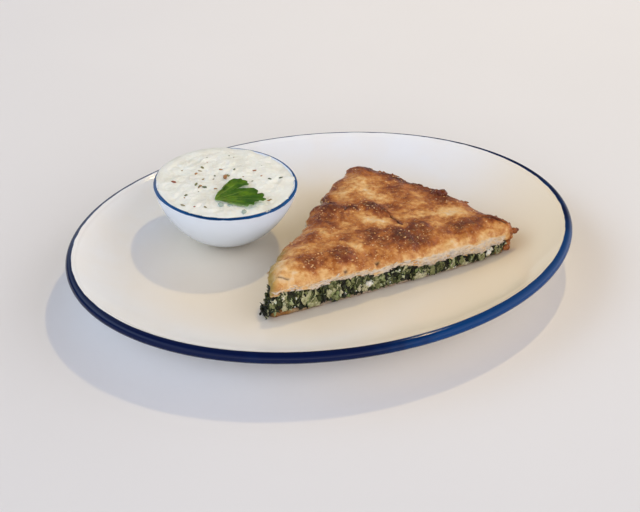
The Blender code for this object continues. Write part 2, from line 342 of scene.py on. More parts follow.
@dataclass(frozen=True)
class Glaze:
    """Glossy glaze fired on stoneware, with a painted band along the edge.

    The glaze is clear and glassy over warm white. The cobalt band was painted by hand, so its edges
    wander, it is thinner in some places than in others and its blue varies at random. Light is painted
    into the colours too: warm light on the white, navy shade and royal blue light on the band, and a grey
    reflection along the far side.
    """

    name: str
    white: str
    # The cream that painted warm light tints the white towards; a little random cream also comes from it.
    warm: str
    band: str = "00366a"
    # The navy that stands for the band in painted shade.
    band_shaded: str = "01123a"
    roughness: float = 0.09

    def material(self) -> bpy.types.Material:
        """Makes it. The mesh gives band depth in millimetres and the shares of painted light, shade and
        reflection.
        """
        made, tree, shader = start_material(
            self.name, Roughness=self.roughness, IOR=1.5, Specular_IOR_Level=0.15
        )
        # The cream mixed over the white here is painted warm light, as much as the mesh asks for.
        body = mixed(tree, number(tree, "painted_warm_light"), linear(self.white), linear(self.warm))
        body = mixed(tree, span(tree, cloud(tree, 30.0), 0.35, 0.7, 0.0, 0.14), body, linear(self.warm))
        wander = maths(tree, "MULTIPLY", maths(tree, "SUBTRACT", cloud(tree, 9.0, 2.0), 0.5), 0.9)
        inside = maths(tree, "ADD", number(tree, "band"), wander)
        uneven = span(tree, cloud(tree, 24.0), 0.3, 0.7, -0.25, 0.25)
        # The band goes from navy for painted shade to royal blue for painted light, with random unevenness
        # added.
        band_light_and_tone = maths(tree, "ADD", number(tree, "band_light_and_tone"), uneven)
        cobalt = mixed(tree, span(tree, band_light_and_tone, 0.1, 0.9), linear(self.band_shaded), linear(self.band))
        # The greyer blue on the far side is a painted reflection of the pale room on the band.
        cobalt = mixed(tree, number(tree, "far_side_reflection"), cobalt, linear("8792a6"))
        thin = span(tree, cloud(tree, 11.0, 3.0), 0.45, 0.65, 0.2, 1.0)
        thin = maths(tree, "MULTIPLY", thin, span(tree, inside, 0.0, 0.6, 0.5, 0.0))
        cobalt = mixed(tree, thin, cobalt, linear("4f7cb4"))
        mask = span(tree, inside, -0.10, 0.16)
        tree.links.new(mixed(tree, mask, body, cobalt), shader.inputs["Base Color"])
        relief(tree, shader, [(cloud(tree, 7.0, 2.0), 0.04), (cloud(tree, 2.5, 2.0), 0.02), (mask, 0.05)])
        return made


@dataclass(frozen=True)
class Yoghurt:
    """Strained yoghurt: thick, white and slightly translucent, with a soft wet sheen."""

    white: str = "eceee5"
    shade: str = "e2e2d6"

    def material(self) -> bpy.types.Material:
        """Makes it."""
        made, tree, shader = start_material(
            "strained_yoghurt", Roughness=0.42, IOR=1.38, Subsurface_Weight=0.25, Subsurface_Scale=0.003
        )
        shader.inputs["Subsurface Radius"].default_value = (1.0, 0.8, 0.6)
        tint = mixed(tree, span(tree, cloud(tree, 11.0), 0.4, 0.7), linear(self.white), linear(self.shade))
        green = span(tree, cloud(tree, 4.5, 4.0), 0.63, 0.75, 0.0, 0.28)
        tree.links.new(mixed(tree, green, tint, linear("cfdcc4")), shader.inputs["Base Color"])
        relief(tree, shader, [(cloud(tree, 2.6, 4.0, 0.6), 0.5), (cloud(tree, 0.9), 0.16)])
        return made


@dataclass(frozen=True)
class Parsley:
    """A fresh flat parsley leaf: waxy deep green, with paler veins and underside."""

    deep: str = "2a5405"
    fresh: str = "54790f"
    vein: str = "86a244"
    under: str = "a9c08c"

    def material(self) -> bpy.types.Material:
        """Makes it. The mesh stores the veins and which points are on the underside."""
        made, tree, shader = start_material(
            "parsley_leaf_skin", Roughness=0.5, IOR=1.42, Specular_IOR_Level=0.25
        )
        shader.inputs["Subsurface Weight"].default_value = 0.1
        shader.inputs["Subsurface Scale"].default_value = 0.001
        skin = mixed(tree, span(tree, cloud(tree, 6.0), 0.35, 0.7), linear(self.deep), linear(self.fresh))
        vein = number(tree, "vein")
        skin = mixed(tree, maths(tree, "MULTIPLY", vein, 0.4), skin, linear(self.vein))
        skin = mixed(tree, number(tree, "under"), skin, linear(self.under))
        tree.links.new(skin, shader.inputs["Base Color"])
        relief(tree, shader, [(cloud(tree, 0.8), 0.08), (vein, -0.12)])
        return made


@dataclass(frozen=True)
class BakedDough:
    """Oiled country filo, baked: pale where it lay low, brown where it blistered up to the heat.

    The colour runs from raw cream through gold to a purplish brown, as browning does. The oil leaves
    a satin surface with fine flaking.
    """

    name: str
    stops: tuple = (
        (0.00, "d2c4b3"),
        (0.12, "e2cba8"),
        (0.27, "dcae70"),
        (0.41, "c18446"),
        (0.55, "a05d2a"),
        (0.70, "7d3e18"),
        (0.85, "5e2710"),
        (1.00, "481c10"),
    )
    roughness: float = 0.36

    def material(self) -> bpy.types.Material:
        """Makes it. The mesh stores how far each point is browned, from 0 to 1, and the painted shade in its
        cracks.
        """
        made, tree, shader = start_material(self.name, IOR=1.45, Specular_IOR_Level=0.3)
        fine = maths(tree, "SUBTRACT", cloud(tree, 2.6, 5.0, 0.62), 0.5)
        broad = maths(tree, "SUBTRACT", cloud(tree, 9.0, 3.0), 0.5)
        bake = number(tree, "bake")
        amount = span(tree, bake, 0.05, 0.4, 0.15, 1.0)
        stir = maths(tree, "ADD", maths(tree, "MULTIPLY", fine, 0.56), maths(tree, "MULTIPLY", broad, 0.3))
        level = maths(tree, "ADD", bake, maths(tree, "MULTIPLY", stir, amount))
        colour = add_ramp(tree, level, self.stops)
        rosy = span(tree, cloud(tree, 6.0, 4.0), 0.45, 0.7, 0.0, 0.5)
        rosy = maths(tree, "MULTIPLY", rosy, span(tree, level, 0.4, 0.7))
        colour = mixed(tree, rosy, colour, linear("6c3122"))
        amber = span(tree, cloud(tree, 7.5, 4.0), 0.5, 0.75, 0.0, 0.55)
        amber = maths(tree, "MULTIPLY", amber, span(tree, level, 0.2, 0.45))
        colour = mixed(tree, amber, colour, linear("b0662a"))
        flecks = span(tree, cloud(tree, 1.1, 2.0), 0.60, 0.70, 0.0, 0.36)
        colour = mixed(tree, maths(tree, "MULTIPLY", flecks, amount), colour, linear("e3c493"))
        colour = mixed(tree, number(tree, "olive"), colour, linear("8a7a34"))
        # The near black inside the cracks is painted shade.
        colour = mixed(tree, number(tree, "char"), colour, linear("3c1a06"))
        tree.links.new(colour, shader.inputs["Base Color"])
        gloss = span(tree, cloud(tree, 5.0, 4.0), 0.35, 0.65, self.roughness - 0.10, self.roughness + 0.14)
        tree.links.new(gloss, shader.inputs["Roughness"])
        crumb = maths(tree, "MULTIPLY", cloud(tree, 1.9, 3.0, 0.6), span(tree, bake, 0.1, 0.3, 1.0, 0.0))
        flakes = [(cloud(tree, 3.2, 4.0, 0.6), 0.45), (cloud(tree, 1.2, 4.0, 0.6), 0.26)]
        relief(tree, shader, [(crumb, 0.7), *flakes, (cloud(tree, 0.45), 0.07)])
        return made


@dataclass(frozen=True)
class Greens:
    """Cooked greens: wilted, wet and dark, with some paler stems and leek among them."""

    name: str
    stops: tuple
    roughness: float = 0.38

    def material(self) -> bpy.types.Material:
        """Makes it. The mesh stores a tone for each bit, from 0 for darkest to 1."""
        made, tree, shader = start_material(self.name, Roughness=self.roughness, IOR=1.4)
        stir = maths(tree, "MULTIPLY", maths(tree, "SUBTRACT", cloud(tree, 1.3, 3.0), 0.5), 0.5)
        level = maths(tree, "ADD", number(tree, "tone"), stir)
        tree.links.new(add_ramp(tree, level, self.stops), shader.inputs["Base Color"])
        relief(tree, shader, [(cloud(tree, 0.7, 3.0), 0.15)])
        return made


@dataclass(frozen=True)
class Feta:
    """Crumbled feta: chalky white and damp, with a fine grain."""

    def material(self) -> bpy.types.Material:
        """Makes it."""
        made, tree, shader = start_material("crumbled_feta", Roughness=0.55, IOR=1.4)
        shader.inputs["Subsurface Weight"].default_value = 0.15
        shader.inputs["Subsurface Scale"].default_value = 0.002
        tint = mixed(tree, span(tree, cloud(tree, 2.0), 0.35, 0.7), linear("eeebdf"), linear("d5d6bd"))
        tree.links.new(tint, shader.inputs["Base Color"])
        relief(tree, shader, [(cloud(tree, 0.6, 3.0), 0.12)])
        return made


# --- plate -------------------------------------------------------------------------------------


@dataclass
class Plate:
    """The oval plate: coupe well, painted bead round the edge, underside and foot ring."""

    bead: float = 3.0 * MM
    floor_top: float = 7.0 * MM
    floor_thickness: float = 4.5 * MM
    wall_thickness: float = 4.2 * MM
    flat_share: float = 0.30
    wall_power: float = 4.2
    foot_share: float = 0.57
    foot_half_share: float = 0.018
    band_in: float = 121.0
    band_out: float = -50.0
    band_thinning: float = 24.0
    around: int = 480
    half_length: float = field(init=False)
    half_width: float = field(init=False)
    rim_top: float = field(init=False)

    def __post_init__(self) -> None:
        """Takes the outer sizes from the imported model."""
        low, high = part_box("plate")
        self.half_length = (high.x - low.x) / 2.0
        self.half_width = (high.y - low.y) / 2.0
        self.rim_top = high.z

    @property
    def wall_end(self) -> float:
        """Where the wall runs into the bead, as a share of the half length."""
        return 1.0 - self.bead * (1.0 + math.cos(math.radians(45))) / self.half_length

    def height(self, share: np.ndarray) -> np.ndarray:
        """Height of the upper surface at a share of the way out."""
        rise = self.rim_top - self.bead * (1.0 - math.sin(math.radians(45))) - self.floor_top
        along = np.maximum(0.0, share - self.flat_share) / (self.wall_end - self.flat_share)
        return self.floor_top + rise * along**self.wall_power

    def top(self, x: np.ndarray, y: np.ndarray) -> np.ndarray:
        """Height of the upper surface at places in plan."""
        return self.height(np.hypot(x / self.half_length, y / self.half_width))

    def profile(self) -> list[tuple[float, float, float, float]]:
        """The section from the well's middle round to the underside.

        Returns:
            Share of the half length, inset in metres, height, and angle round the bead in degrees,
            for each ring. Rings off the bead have an angle far past the band.
        """
        far = 400.0
        found = []
        start_inset = self.bead * (1.0 + math.cos(math.radians(45)))
        for share in np.concatenate([np.linspace(0.02, 0.6, 12), np.linspace(0.62, self.wall_end, 34)]):
            part = share / self.wall_end
            found.append((part, start_inset * part, float(self.height(share)), far))
        for degrees in np.linspace(135.0, -80.0, 64):
            turn = math.radians(degrees)
            inset = self.bead * (1.0 - math.cos(turn))
            found.append((1.0, inset, self.rim_top - self.bead * (1.0 - math.sin(turn)), degrees))
        outer = self.foot_share + self.foot_half_share
        inner = self.foot_share - self.foot_half_share
        for share in np.linspace(0.95, outer + 0.012, 20):
            found.append((share, 0.0, float(self.height(share)) - self.wall_thickness, far))
        foot = ((outer, 0.4 * MM), (outer - 0.003, 0.0), (inner + 0.003, 0.0), (inner, 0.4 * MM))
        for share, z in foot:
            found.append((share, 0.0, z, far))
        found.append((inner - 0.012, 0.0, self.floor_top - self.floor_thickness, far))
        return found

    def band_depth(self, degrees: float, turns: np.ndarray) -> np.ndarray:
        """Depth inside the painted band in millimetres, at an angle of the bead's section.

        The band is thinner round the far side, where the brush held less colour.
        """
        far_side = ease(np.sin(turns) - 0.35 * np.cos(turns), -0.4, 0.7)
        inner = self.band_in - self.band_thinning * far_side
        return np.radians(np.minimum(inner - degrees, degrees - self.band_out)) * self.bead / MM

    def painted_warm_light(self, points: np.ndarray) -> np.ndarray:
        """Painted warm light: a cream tint in the well and on the near right, none up the far wall."""
        share = np.hypot(points[:, 0] / self.half_length, points[:, 1] / self.half_width)
        well = 0.7 * (1.0 - ease(share, 0.55, 0.9))
        near = ease(0.6 * points[:, 0] - 0.8 * points[:, 1], 0.0, 110.0 * MM)
        return np.clip(np.maximum(well, near), 0.0, 1.0)

    @staticmethod
    def painted_band_light(points: np.ndarray) -> np.ndarray:
        """Painted light on the cobalt: navy for painted shade round the left and front, royal blue lit at the
        near right.
        """
        right = ease(0.8 * points[:, 0] - 0.5 * points[:, 1], 20.0 * MM, 90.0 * MM)
        return right * (1.0 - 0.8 * ease(points[:, 1], -85.0 * MM, -25.0 * MM))

    def build(self) -> bpy.types.Object:
        """Makes the plate and dresses it."""
        turns = np.linspace(0.0, 2.0 * math.pi, self.around, endpoint=False)
        rings, depths = [], []
        for share, inset, z, degrees in self.profile():
            x = (self.half_length * share - inset) * np.cos(turns)
            y = (self.half_width * share - inset) * np.sin(turns)
            rings.append(np.stack([x, y, np.full_like(x, z)], 1))
            depths.append(self.band_depth(degrees, turns))
        rings = np.array(rings[::-1])
        depths = np.concatenate(depths[::-1])
        low = np.array([0.0, 0.0, self.floor_top - self.floor_thickness])
        points, faces = loft(rings, low, np.array([0.0, 0.0, self.floor_top]))
        values = {
            "band": np.concatenate([depths, [OFF_BAND, OFF_BAND]]),
            "painted_warm_light": self.painted_warm_light(points),
            # Painted light and shade on the band.
            "band_light_and_tone": self.painted_band_light(points),
            # Painted reflection along the far side of the band.
            "far_side_reflection": 0.3 * ease(points[:, 1] - 0.25 * points[:, 0], 40.0 * MM, 105.0 * MM),
        }
        # The warm colour is the cream of the painted warm light on the plate.
        glaze = Glaze("glazed_stoneware_plate", white="ebeef0", warm="ecddc1")
        plate = make_mesh("oval_plate", points, faces, glaze.material(), values)
        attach(plate, BODY)
        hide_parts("plate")
        return plate


# --- bowl, dip and leaf ------------------------------------------------------------------------


@dataclass
class DipBowl:
    """The thrown bowl on its foot ring, leaning a little towards the plate's middle."""

    plate: Plate
    middle_x: float = -45.0 * MM
    middle_y: float = 46.0 * MM
    radius: float = 42.5 * MM
    height: float = 36.1 * MM
    wall: float = 3.0 * MM
    foot_radius: float = 16.5 * MM
    foot_height: float = 2.0 * MM
    power: float = 1.5
    lean: float = math.radians(2.6)
    around: int = 240

    @property
    def placement(self) -> np.ndarray:
        """The move from the bowl's own frame to the model's, as a 4 by 4 array."""
        plate = self.plate
        outward = Vector((self.middle_x / plate.half_length**2, self.middle_y / plate.half_width**2))
        outward.normalize()
        near_x = self.middle_x - outward.x * self.foot_radius
        near_y = self.middle_y - outward.y * self.foot_radius
        z = float(self.plate.top(near_x, near_y)) + math.sin(self.lean) * self.foot_radius + 0.3 * MM
        turn = Matrix.Rotation(-self.lean, 4, Vector((-outward.y, outward.x, 0.0)))
        return np.array(Matrix.Translation((self.middle_x, self.middle_y, z)) @ turn)

    def placed(self, points: np.ndarray) -> np.ndarray:
        """Moves points from the bowl's own frame to the model's."""
        move = self.placement
        return points @ move[:3, :3].T + move[:3, 3]

    def inner_radius(self, z: np.ndarray) -> np.ndarray:
        """Radius of the inside at a height in the bowl's own frame."""
        floor = self.foot_height + self.wall
        share = np.clip((z - floor) / (self.height - floor), 0.0, 1.0)
        curve = (1.0 - (1.0 - share) ** self.power) ** (1.0 / self.power)
        bottom = self.foot_radius - self.wall
        return bottom + (self.radius - self.wall - bottom) * curve

    def outer_radius(self, z: np.ndarray) -> np.ndarray:
        """Radius of the outside at a height in the bowl's own frame."""
        share = np.clip((z - self.foot_height) / (self.height - self.foot_height), 0.0, 1.0)
        curve = (1.0 - (1.0 - share) ** self.power) ** (1.0 / self.power)
        return self.foot_radius + (self.radius - self.foot_radius) * curve

    def profile(self) -> list[tuple[float, float, float]]:
        """The section from under the foot round to the inside: radius, height and band depth."""
        lip = self.wall / 2.0
        wall_top = self.height - lip
        foot = self.foot_radius
        found = [
            (foot - 3.6 * MM, self.foot_height, OFF_BAND),
            (foot - 2.6 * MM, 0.3 * MM, OFF_BAND),
            (foot - 2.2 * MM, 0.0, OFF_BAND),
            (foot - 0.9 * MM, 0.0, OFF_BAND),
            (foot - 0.4 * MM, 0.3 * MM, OFF_BAND),
        ]
        for share in np.linspace(0.0, 1.0, 44) ** 1.7:
            z = self.foot_height + (wall_top - self.foot_height) * share
            found.append((float(self.outer_radius(z)), z, (z - wall_top) / MM - 0.6))
        for degrees in np.linspace(8.0, 172.0, 24):
            turn = math.radians(degrees)
            radius = self.radius - lip + lip * math.cos(turn)
            depth = min(turn * lip / MM - 0.6, math.radians(104.0 - degrees) * lip / MM)
            found.append((radius, wall_top + lip * math.sin(turn), depth))
        floor = self.foot_height + self.wall
        for share in np.linspace(1.0, 0.0, 16) ** 1.5:
            z = floor + (wall_top - floor) * share
            found.append((float(self.inner_radius(z)), z, OFF_BAND))
        return found

    def build(self) -> bpy.types.Object:
        """Makes the bowl and dresses it."""
        turns = np.linspace(0.0, 2.0 * math.pi, self.around, endpoint=False)
        rings, depths = [], []
        for radius, z, depth in self.profile():
            level = np.full_like(turns, z)
            rings.append(np.stack([radius * np.cos(turns), radius * np.sin(turns), level], 1))
            depths.append(np.full(self.around, depth))
        under = np.array([0.0, 0.0, self.foot_height])
        floor = np.array([0.0, 0.0, self.foot_height + self.wall])
        points, faces = loft(np.array(rings), under, floor)
        values = {
            "band": np.concatenate([np.concatenate(depths), [OFF_BAND, OFF_BAND]]),
            # No painted warm light on the bowl.
            "painted_warm_light": np.zeros(len(points)),
            "band_light_and_tone": np.full(len(points), 0.6),
            # Painted reflection along the far side of the bowl's band.
            "far_side_reflection": 0.5 * ease(points[:, 1] - 0.3 * points[:, 0], 0.0, 42.0 * MM),
        }
        glaze = Glaze("glazed_stoneware_bowl", "dae2ea", "d8dfe6", band="0c4a80", band_shaded="06264a")
        bowl = make_mesh("dip_bowl_body", self.placed(points), faces, glaze.material(), values)
        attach(bowl, BODY)
        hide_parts("dip_bowl")
        return bowl


@dataclass
class Dip:
    """The yoghurt dip: heaped to the brim, smeared over it at the back, with herbs and spices."""

    bowl: DipBowl
    edge_drop: float = 0.7 * MM
    dome: float = 1.1 * MM
    noise: Noise = field(default_factory=lambda: Noise(11))

    def height(self, x: np.ndarray, y: np.ndarray) -> np.ndarray:
        """Height of the surface in the bowl's own frame: domed, with strokes of the spoon."""
        edge = self.bowl.radius - self.bowl.wall
        share = np.clip(np.hypot(x, y) / edge, 0.0, 1.1)
        flat = np.stack([x, y, np.zeros_like(x)], 1)
        soft = 1.0 - ease(share, 0.86, 1.0)
        along = np.stack([x * 0.8 + y * 0.6, (y * 0.8 - x * 0.6) * 2.6, np.zeros_like(x)], 1)
        lumps = 0.5 * MM * self.noise.layered(flat, 12.0 * MM, 3)
        lumps = lumps + 0.35 * MM * self.noise.at(along, 10.0 * MM)
        grain = 0.36 * MM * self.noise.layered(flat, 3.4 * MM, 4)
        level = self.bowl.height - self.edge_drop + self.dome * (1.0 - share**4)
        return level + (lumps + grain) * (0.25 + 0.75 * soft)

    def spill(self, turns: np.ndarray) -> np.ndarray:
        """How far the dip is smeared out over the brim, from 0 to 1, round the bowl."""
        middle = math.radians(105.0)
        away = np.abs((turns - middle + math.pi) % (2.0 * math.pi) - math.pi)
        ragged = np.stack([np.cos(turns), np.sin(turns), np.zeros_like(turns)], 1) * 30.0 * MM
        smears = 0.8 * ease(self.noise.at(ragged + 0.5, 5.0 * MM), 0.05, 0.4)
        back = ease(1.6 + 0.7 * self.noise.at(ragged, 9.0 * MM) - away / 0.72)
        return np.maximum(0.25 + 0.75 * back, smears)

    def build(self) -> bpy.types.Object:
        """Makes the dip and dresses it."""
        bowl = self.bowl
        around = 400
        turns = np.linspace(0.0, 2.0 * math.pi, around, endpoint=False)
        out = np.stack([np.cos(turns), np.sin(turns)], 1)
        floor = bowl.foot_height + bowl.wall
        brim = bowl.height
        rings = []
        for share in (0.0, 0.1, 0.3, 0.6, 0.85):
            z = floor + 0.3 * MM + (brim - 4.0 * MM - floor) * share
            radius = float(bowl.inner_radius(z)) - 0.4 * MM
            rings.append(np.column_stack([out * radius, np.full(around, z)]))
        inner = bowl.radius - bowl.wall - 0.1 * MM
        spill = self.spill(turns)
        reach = inner + spill * (bowl.wall * 0.82)
        lifted = brim - 1.3 * MM + spill * MM
        rings.append(np.column_stack([out * (inner - 0.2 * MM), np.full(around, brim - 2.4 * MM)]))
        rings.append(np.column_stack([out * reach[:, None], lifted]))
        bulge = inner - 0.3 * MM + spill * (bowl.wall * 0.75)
        rings.append(np.column_stack([out * bulge[:, None], lifted + 0.55 * MM]))
        for share in np.concatenate([np.linspace(0.985, 0.9, 10), np.linspace(0.89, 0.02, 96)]):
            flat = out * (inner * share)
            z = self.height(flat[:, 0], flat[:, 1])
            near = ease(np.full(around, share), 0.88, 0.985) * spill
            rings.append(np.column_stack([flat, z + near * 0.5 * MM]))
        top = np.array([0.0, 0.0, float(self.height(np.zeros(1), np.zeros(1))[0])])
        points, faces = loft(np.array(rings), np.array([0.0, 0.0, floor + 0.3 * MM]), top)
        dip = make_mesh("yoghurt_dip_heap", bowl.placed(points), faces, Yoghurt().material())
        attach(dip, BODY)
        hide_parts("yoghurt_dip")
        return dip


@dataclass
class Leaf:
    """The parsley leaf on the dip: two broad lobes, toothed at their ends."""

    dip: Dip
    base_x: float = -57.9 * MM
    base_y: float = 25.3 * MM
    thickness: float = 0.35 * MM
    edge: tuple = (
        (-34, 6.0), (-42, 13.0), (-45, 16.0), (-41, 17.5), (-42, 20.5), (-38, 21.0), (-39, 24.0),
        (-33, 23.5), (-31, 26.0), (-27, 25.5), (-26, 28.0), (-21, 30.0), (-18, 27.5), (-14, 29.0),
        (-9, 28.0), (-8, 25.0), (-3, 26.5), (2, 25.5), (6, 25.5), (9, 22.5), (16, 19.0), (24, 14.0),
        (24, 16.0), (20, 22.0), (19, 26.0), (24, 26.5), (27, 28.0), (32, 26.5), (36, 27.5),
        (39, 25.0), (43, 24.0), (46, 20.0), (48, 13.0), (52, 6.0),
    )
    veins: tuple = ((-36, 20.0), (-22, 25.0), (-8, 22.0), (6, 20.0), (31, 23.0), (42, 20.0))
    noise: Noise = field(default_factory=lambda: Noise(23))

    def rest_height(self, plan: np.ndarray) -> np.ndarray:
        """Height of the dip under places in plan, in the model's frame."""
        move = self.dip.bowl.placement
        local = (np.column_stack([plan, np.full(len(plan), 45.0 * MM)]) - move[:3, 3]) @ move[:3, :3]
        z = self.dip.height(local[:, 0], local[:, 1])
        return self.dip.bowl.placed(np.column_stack([local[:, :2], z]))[:, 2]

    def build(self) -> bpy.types.Object:
        """Makes the leaf and dresses it."""
        across, along = 220, 30
        known = np.array(self.edge, float)
        known_way = np.radians(known[:, 0])
        corners = known[:, 1:] * np.column_stack([np.cos(known_way), np.sin(known_way)])
        length = np.concatenate([[0.0], np.cumsum(np.linalg.norm(np.diff(corners, axis=0), axis=1))])
        steps = np.linspace(0.0, length[-1], across)
        tips = np.stack([np.interp(steps, length, corners[:, k]) for k in (0, 1)], 1) * MM
        for _ in range(2):
            tips[1:-1] = 0.25 * tips[:-2] + 0.5 * tips[1:-1] + 0.25 * tips[2:]
        share = np.linspace(0.04, 1.0, along)[:, None]
        headings = np.degrees(np.arctan2(tips[:, 1], tips[:, 0]))
        reach = np.linalg.norm(tips, axis=1)
        axis = math.radians(4.0)
        along_axis = tips @ np.array((math.cos(axis), math.sin(axis)))
        across_axis = tips @ np.array((-math.sin(axis), math.cos(axis)))
        spread = share + 0.55 * share * (1.0 - share)
        ahead, aside = share * along_axis, np.where(across_axis < 0.0, share**1.25, spread) * across_axis
        plan = np.stack(
            [
                self.base_x + ahead * math.cos(axis) - aside * math.sin(axis),
                self.base_y + ahead * math.sin(axis) + aside * math.cos(axis),
            ],
            2,
        ).reshape(-1, 2)
        out = (share * np.ones(across)).ravel()
        heading = np.tile(headings, along)
        reached = (share * reach).ravel()
        vein = np.zeros(len(plan))
        for direction, length in self.veins:
            away = reached * np.sin(np.radians(np.abs(heading - direction)))
            fading = 1.0 - ease(reached, length * 0.7 * MM, length * MM)
            near = np.exp(-((away / (0.35 * MM)) ** 2)) * fading
            vein = np.maximum(vein, near)
            barbs = np.abs(((reached / MM + away / MM * 1.2) / 3.2) % 1.0 - 0.5) * 3.2
            side = np.exp(-((barbs / 0.22) ** 2)) * (1.0 - ease(away, 1.5 * MM, 4.0 * MM))
            vein = np.maximum(vein, 0.45 * side * (1.0 - ease(reached, length * 0.8 * MM, length * MM)))
        flat = np.column_stack([plan, np.zeros(len(plan))])
        rest = self.rest_height(plan)
        level = float(self.rest_height(np.array([[self.base_x, self.base_y]]))[0])
        z = 0.55 * rest + 0.45 * level + 0.7 * MM + out**2 * MM
        z += 0.5 * MM * self.noise.layered(flat, 8.0 * MM, 2) * out
        z += 0.45 * MM * np.cos(np.radians(heading - 5.0) * 9.0) * out
        tuck = ease(-heading, 34.0, 44.0) * out
        z -= tuck * 1.6 * MM
        z -= vein * 0.12 * MM
        z = np.maximum(z, rest + 0.25 * MM)
        upper = np.column_stack([plan, z + self.thickness])
        lower = np.column_stack([plan, z])
        count = len(plan)
        faces = []
        for quad in ring_faces(along, across, closed=False):
            faces.append(quad[::-1])
            faces.append([i + count for i in quad])
        rim = list(range(across)) + [k * across + across - 1 for k in range(1, along)]
        rim += [(along - 1) * across + i for i in range(across - 2, -1, -1)]
        rim += [k * across for k in range(along - 2, 0, -1)]
        for a, b in zip(rim, rim[1:] + rim[:1]):
            faces.append([a, b, b + count, a + count])
        values = {
            "vein": np.concatenate([vein, vein]),
            "under": np.concatenate([tuck**3 * 0.5, np.ones(count)]),
        }
        points = np.concatenate([upper, lower])
        leaf = make_mesh("parsley_leaf_blade", points, faces, Parsley().material(), values)
        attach(leaf, BODY)
        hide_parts("parsley_leaf")
        return leaf


# --- small shapes ------------------------------------------------------------------------------


class Shapes:
    """Makes small closed shapes to scatter: strips, stems and crumbs."""

    def __init__(self, seed: int) -> None:
        """Prepares the shared face lists."""
        self.rng = np.random.default_rng(seed)
        self.noise = Noise(seed)
        self.rings, self.around = 7, 8
        _, self.strip_faces = loft(np.zeros((self.rings, self.around, 3)), np.zeros(3), np.zeros(3))
        ball = bmesh.new()
        bmesh.ops.create_icosphere(ball, subdivisions=2, radius=1.0)
        self.ball = np.array([v.co for v in ball.verts])
        self.ball_faces = [[v.index for v in face.verts] for face in ball.faces]
        ball.free()

    def strip(self, length: float, width: float, thickness: float, bend: float) -> np.ndarray:
        """A flat strip along X, lens-shaped in plan, bent and ruffled. Stems use it too, made thicker for
        their width.
        """
        rng = self.rng
        u = np.linspace(-0.94, 0.94, self.rings)[:, None]
        turn = np.linspace(0.0, 2.0 * math.pi, self.around, endpoint=False)[None, :]
        half = width / 2.0 * (1.0 - np.abs(u) ** 3) * (1.0 + rng.uniform(-0.3, 0.3, (self.rings, 1)))
        y = half * np.cos(turn)
        ruffle = rng.normal(0.0, 0.16 * width, (self.rings, 1))
        fold = rng.uniform(-0.5, 0.5) * np.abs(y)
        z = thickness / 2.0 * np.sin(turn) + bend * length * u**2 + ruffle * np.cos(turn) + fold
        sway = rng.uniform(-0.2, 0.2) * length * u**2
        x = np.broadcast_to(length / 2.0 * u, y.shape)
        rings = np.stack([x, y + sway, z], 2).reshape(-1, 3)
        ends = [[side * length / 2.0, float(sway[0, 0]), bend * length] for side in (-1.0, 1.0)]
        return np.concatenate([rings, ends])

    def crumb(self, radius: float, rough: float = 0.3) -> np.ndarray:
        """An uneven lump about the origin."""
        shift = self.rng.uniform(-9.0, 9.0, 3)
        grown = 1.0 + rough * self.noise.layered(self.ball * 1.1 + shift, 0.9, 2)
        shape = self.rng.uniform(0.75, 1.2, 3)
        return self.ball * grown[:, None] * shape * radius @ turned(self.rng).T


# --- pie ---------------------------------------------------------------------------------------


class Side(Enum):
    """The wedge's sides, in order round its outline."""

    FRONT_CUT = 0
    RIM = 1
    BACK_CUT = 2
    TIP = 3


class Notch(NamedTuple):
    """A place where the cut edge is torn inwards, in millimetres."""

    x: float
    y: float
    reach: float
    depth: float


class Patch(NamedTuple):
    """A place on the crust, in millimetres and degrees, with its change of browning and its lift."""

    x: float
    y: float
    length: float
    width: float
    heading: float
    bake: float
    lift: float


class Crease(NamedTuple):
    """A crack along a line of points, in millimetres, with how much painted shade darkens it inside."""

    line: tuple
    width: float
    depth: float
    char: float


def line_distance(plan: np.ndarray, line: np.ndarray) -> np.ndarray:
    """Distance in plan from each point to the nearest place on a line of points."""
    start, side = line[:-1], np.diff(line, axis=0)
    length = np.maximum((side**2).sum(1), 1e-12)
    nearest = []
    for part in np.array_split(plan, len(plan) // 4000 + 1):
        away = part[:, None] - start
        along = np.clip((away * side).sum(2) / length, 0.0, 1.0)
        nearest.append(np.linalg.norm(away - along[..., None] * side, axis=2).min(1))
    return np.concatenate(nearest)


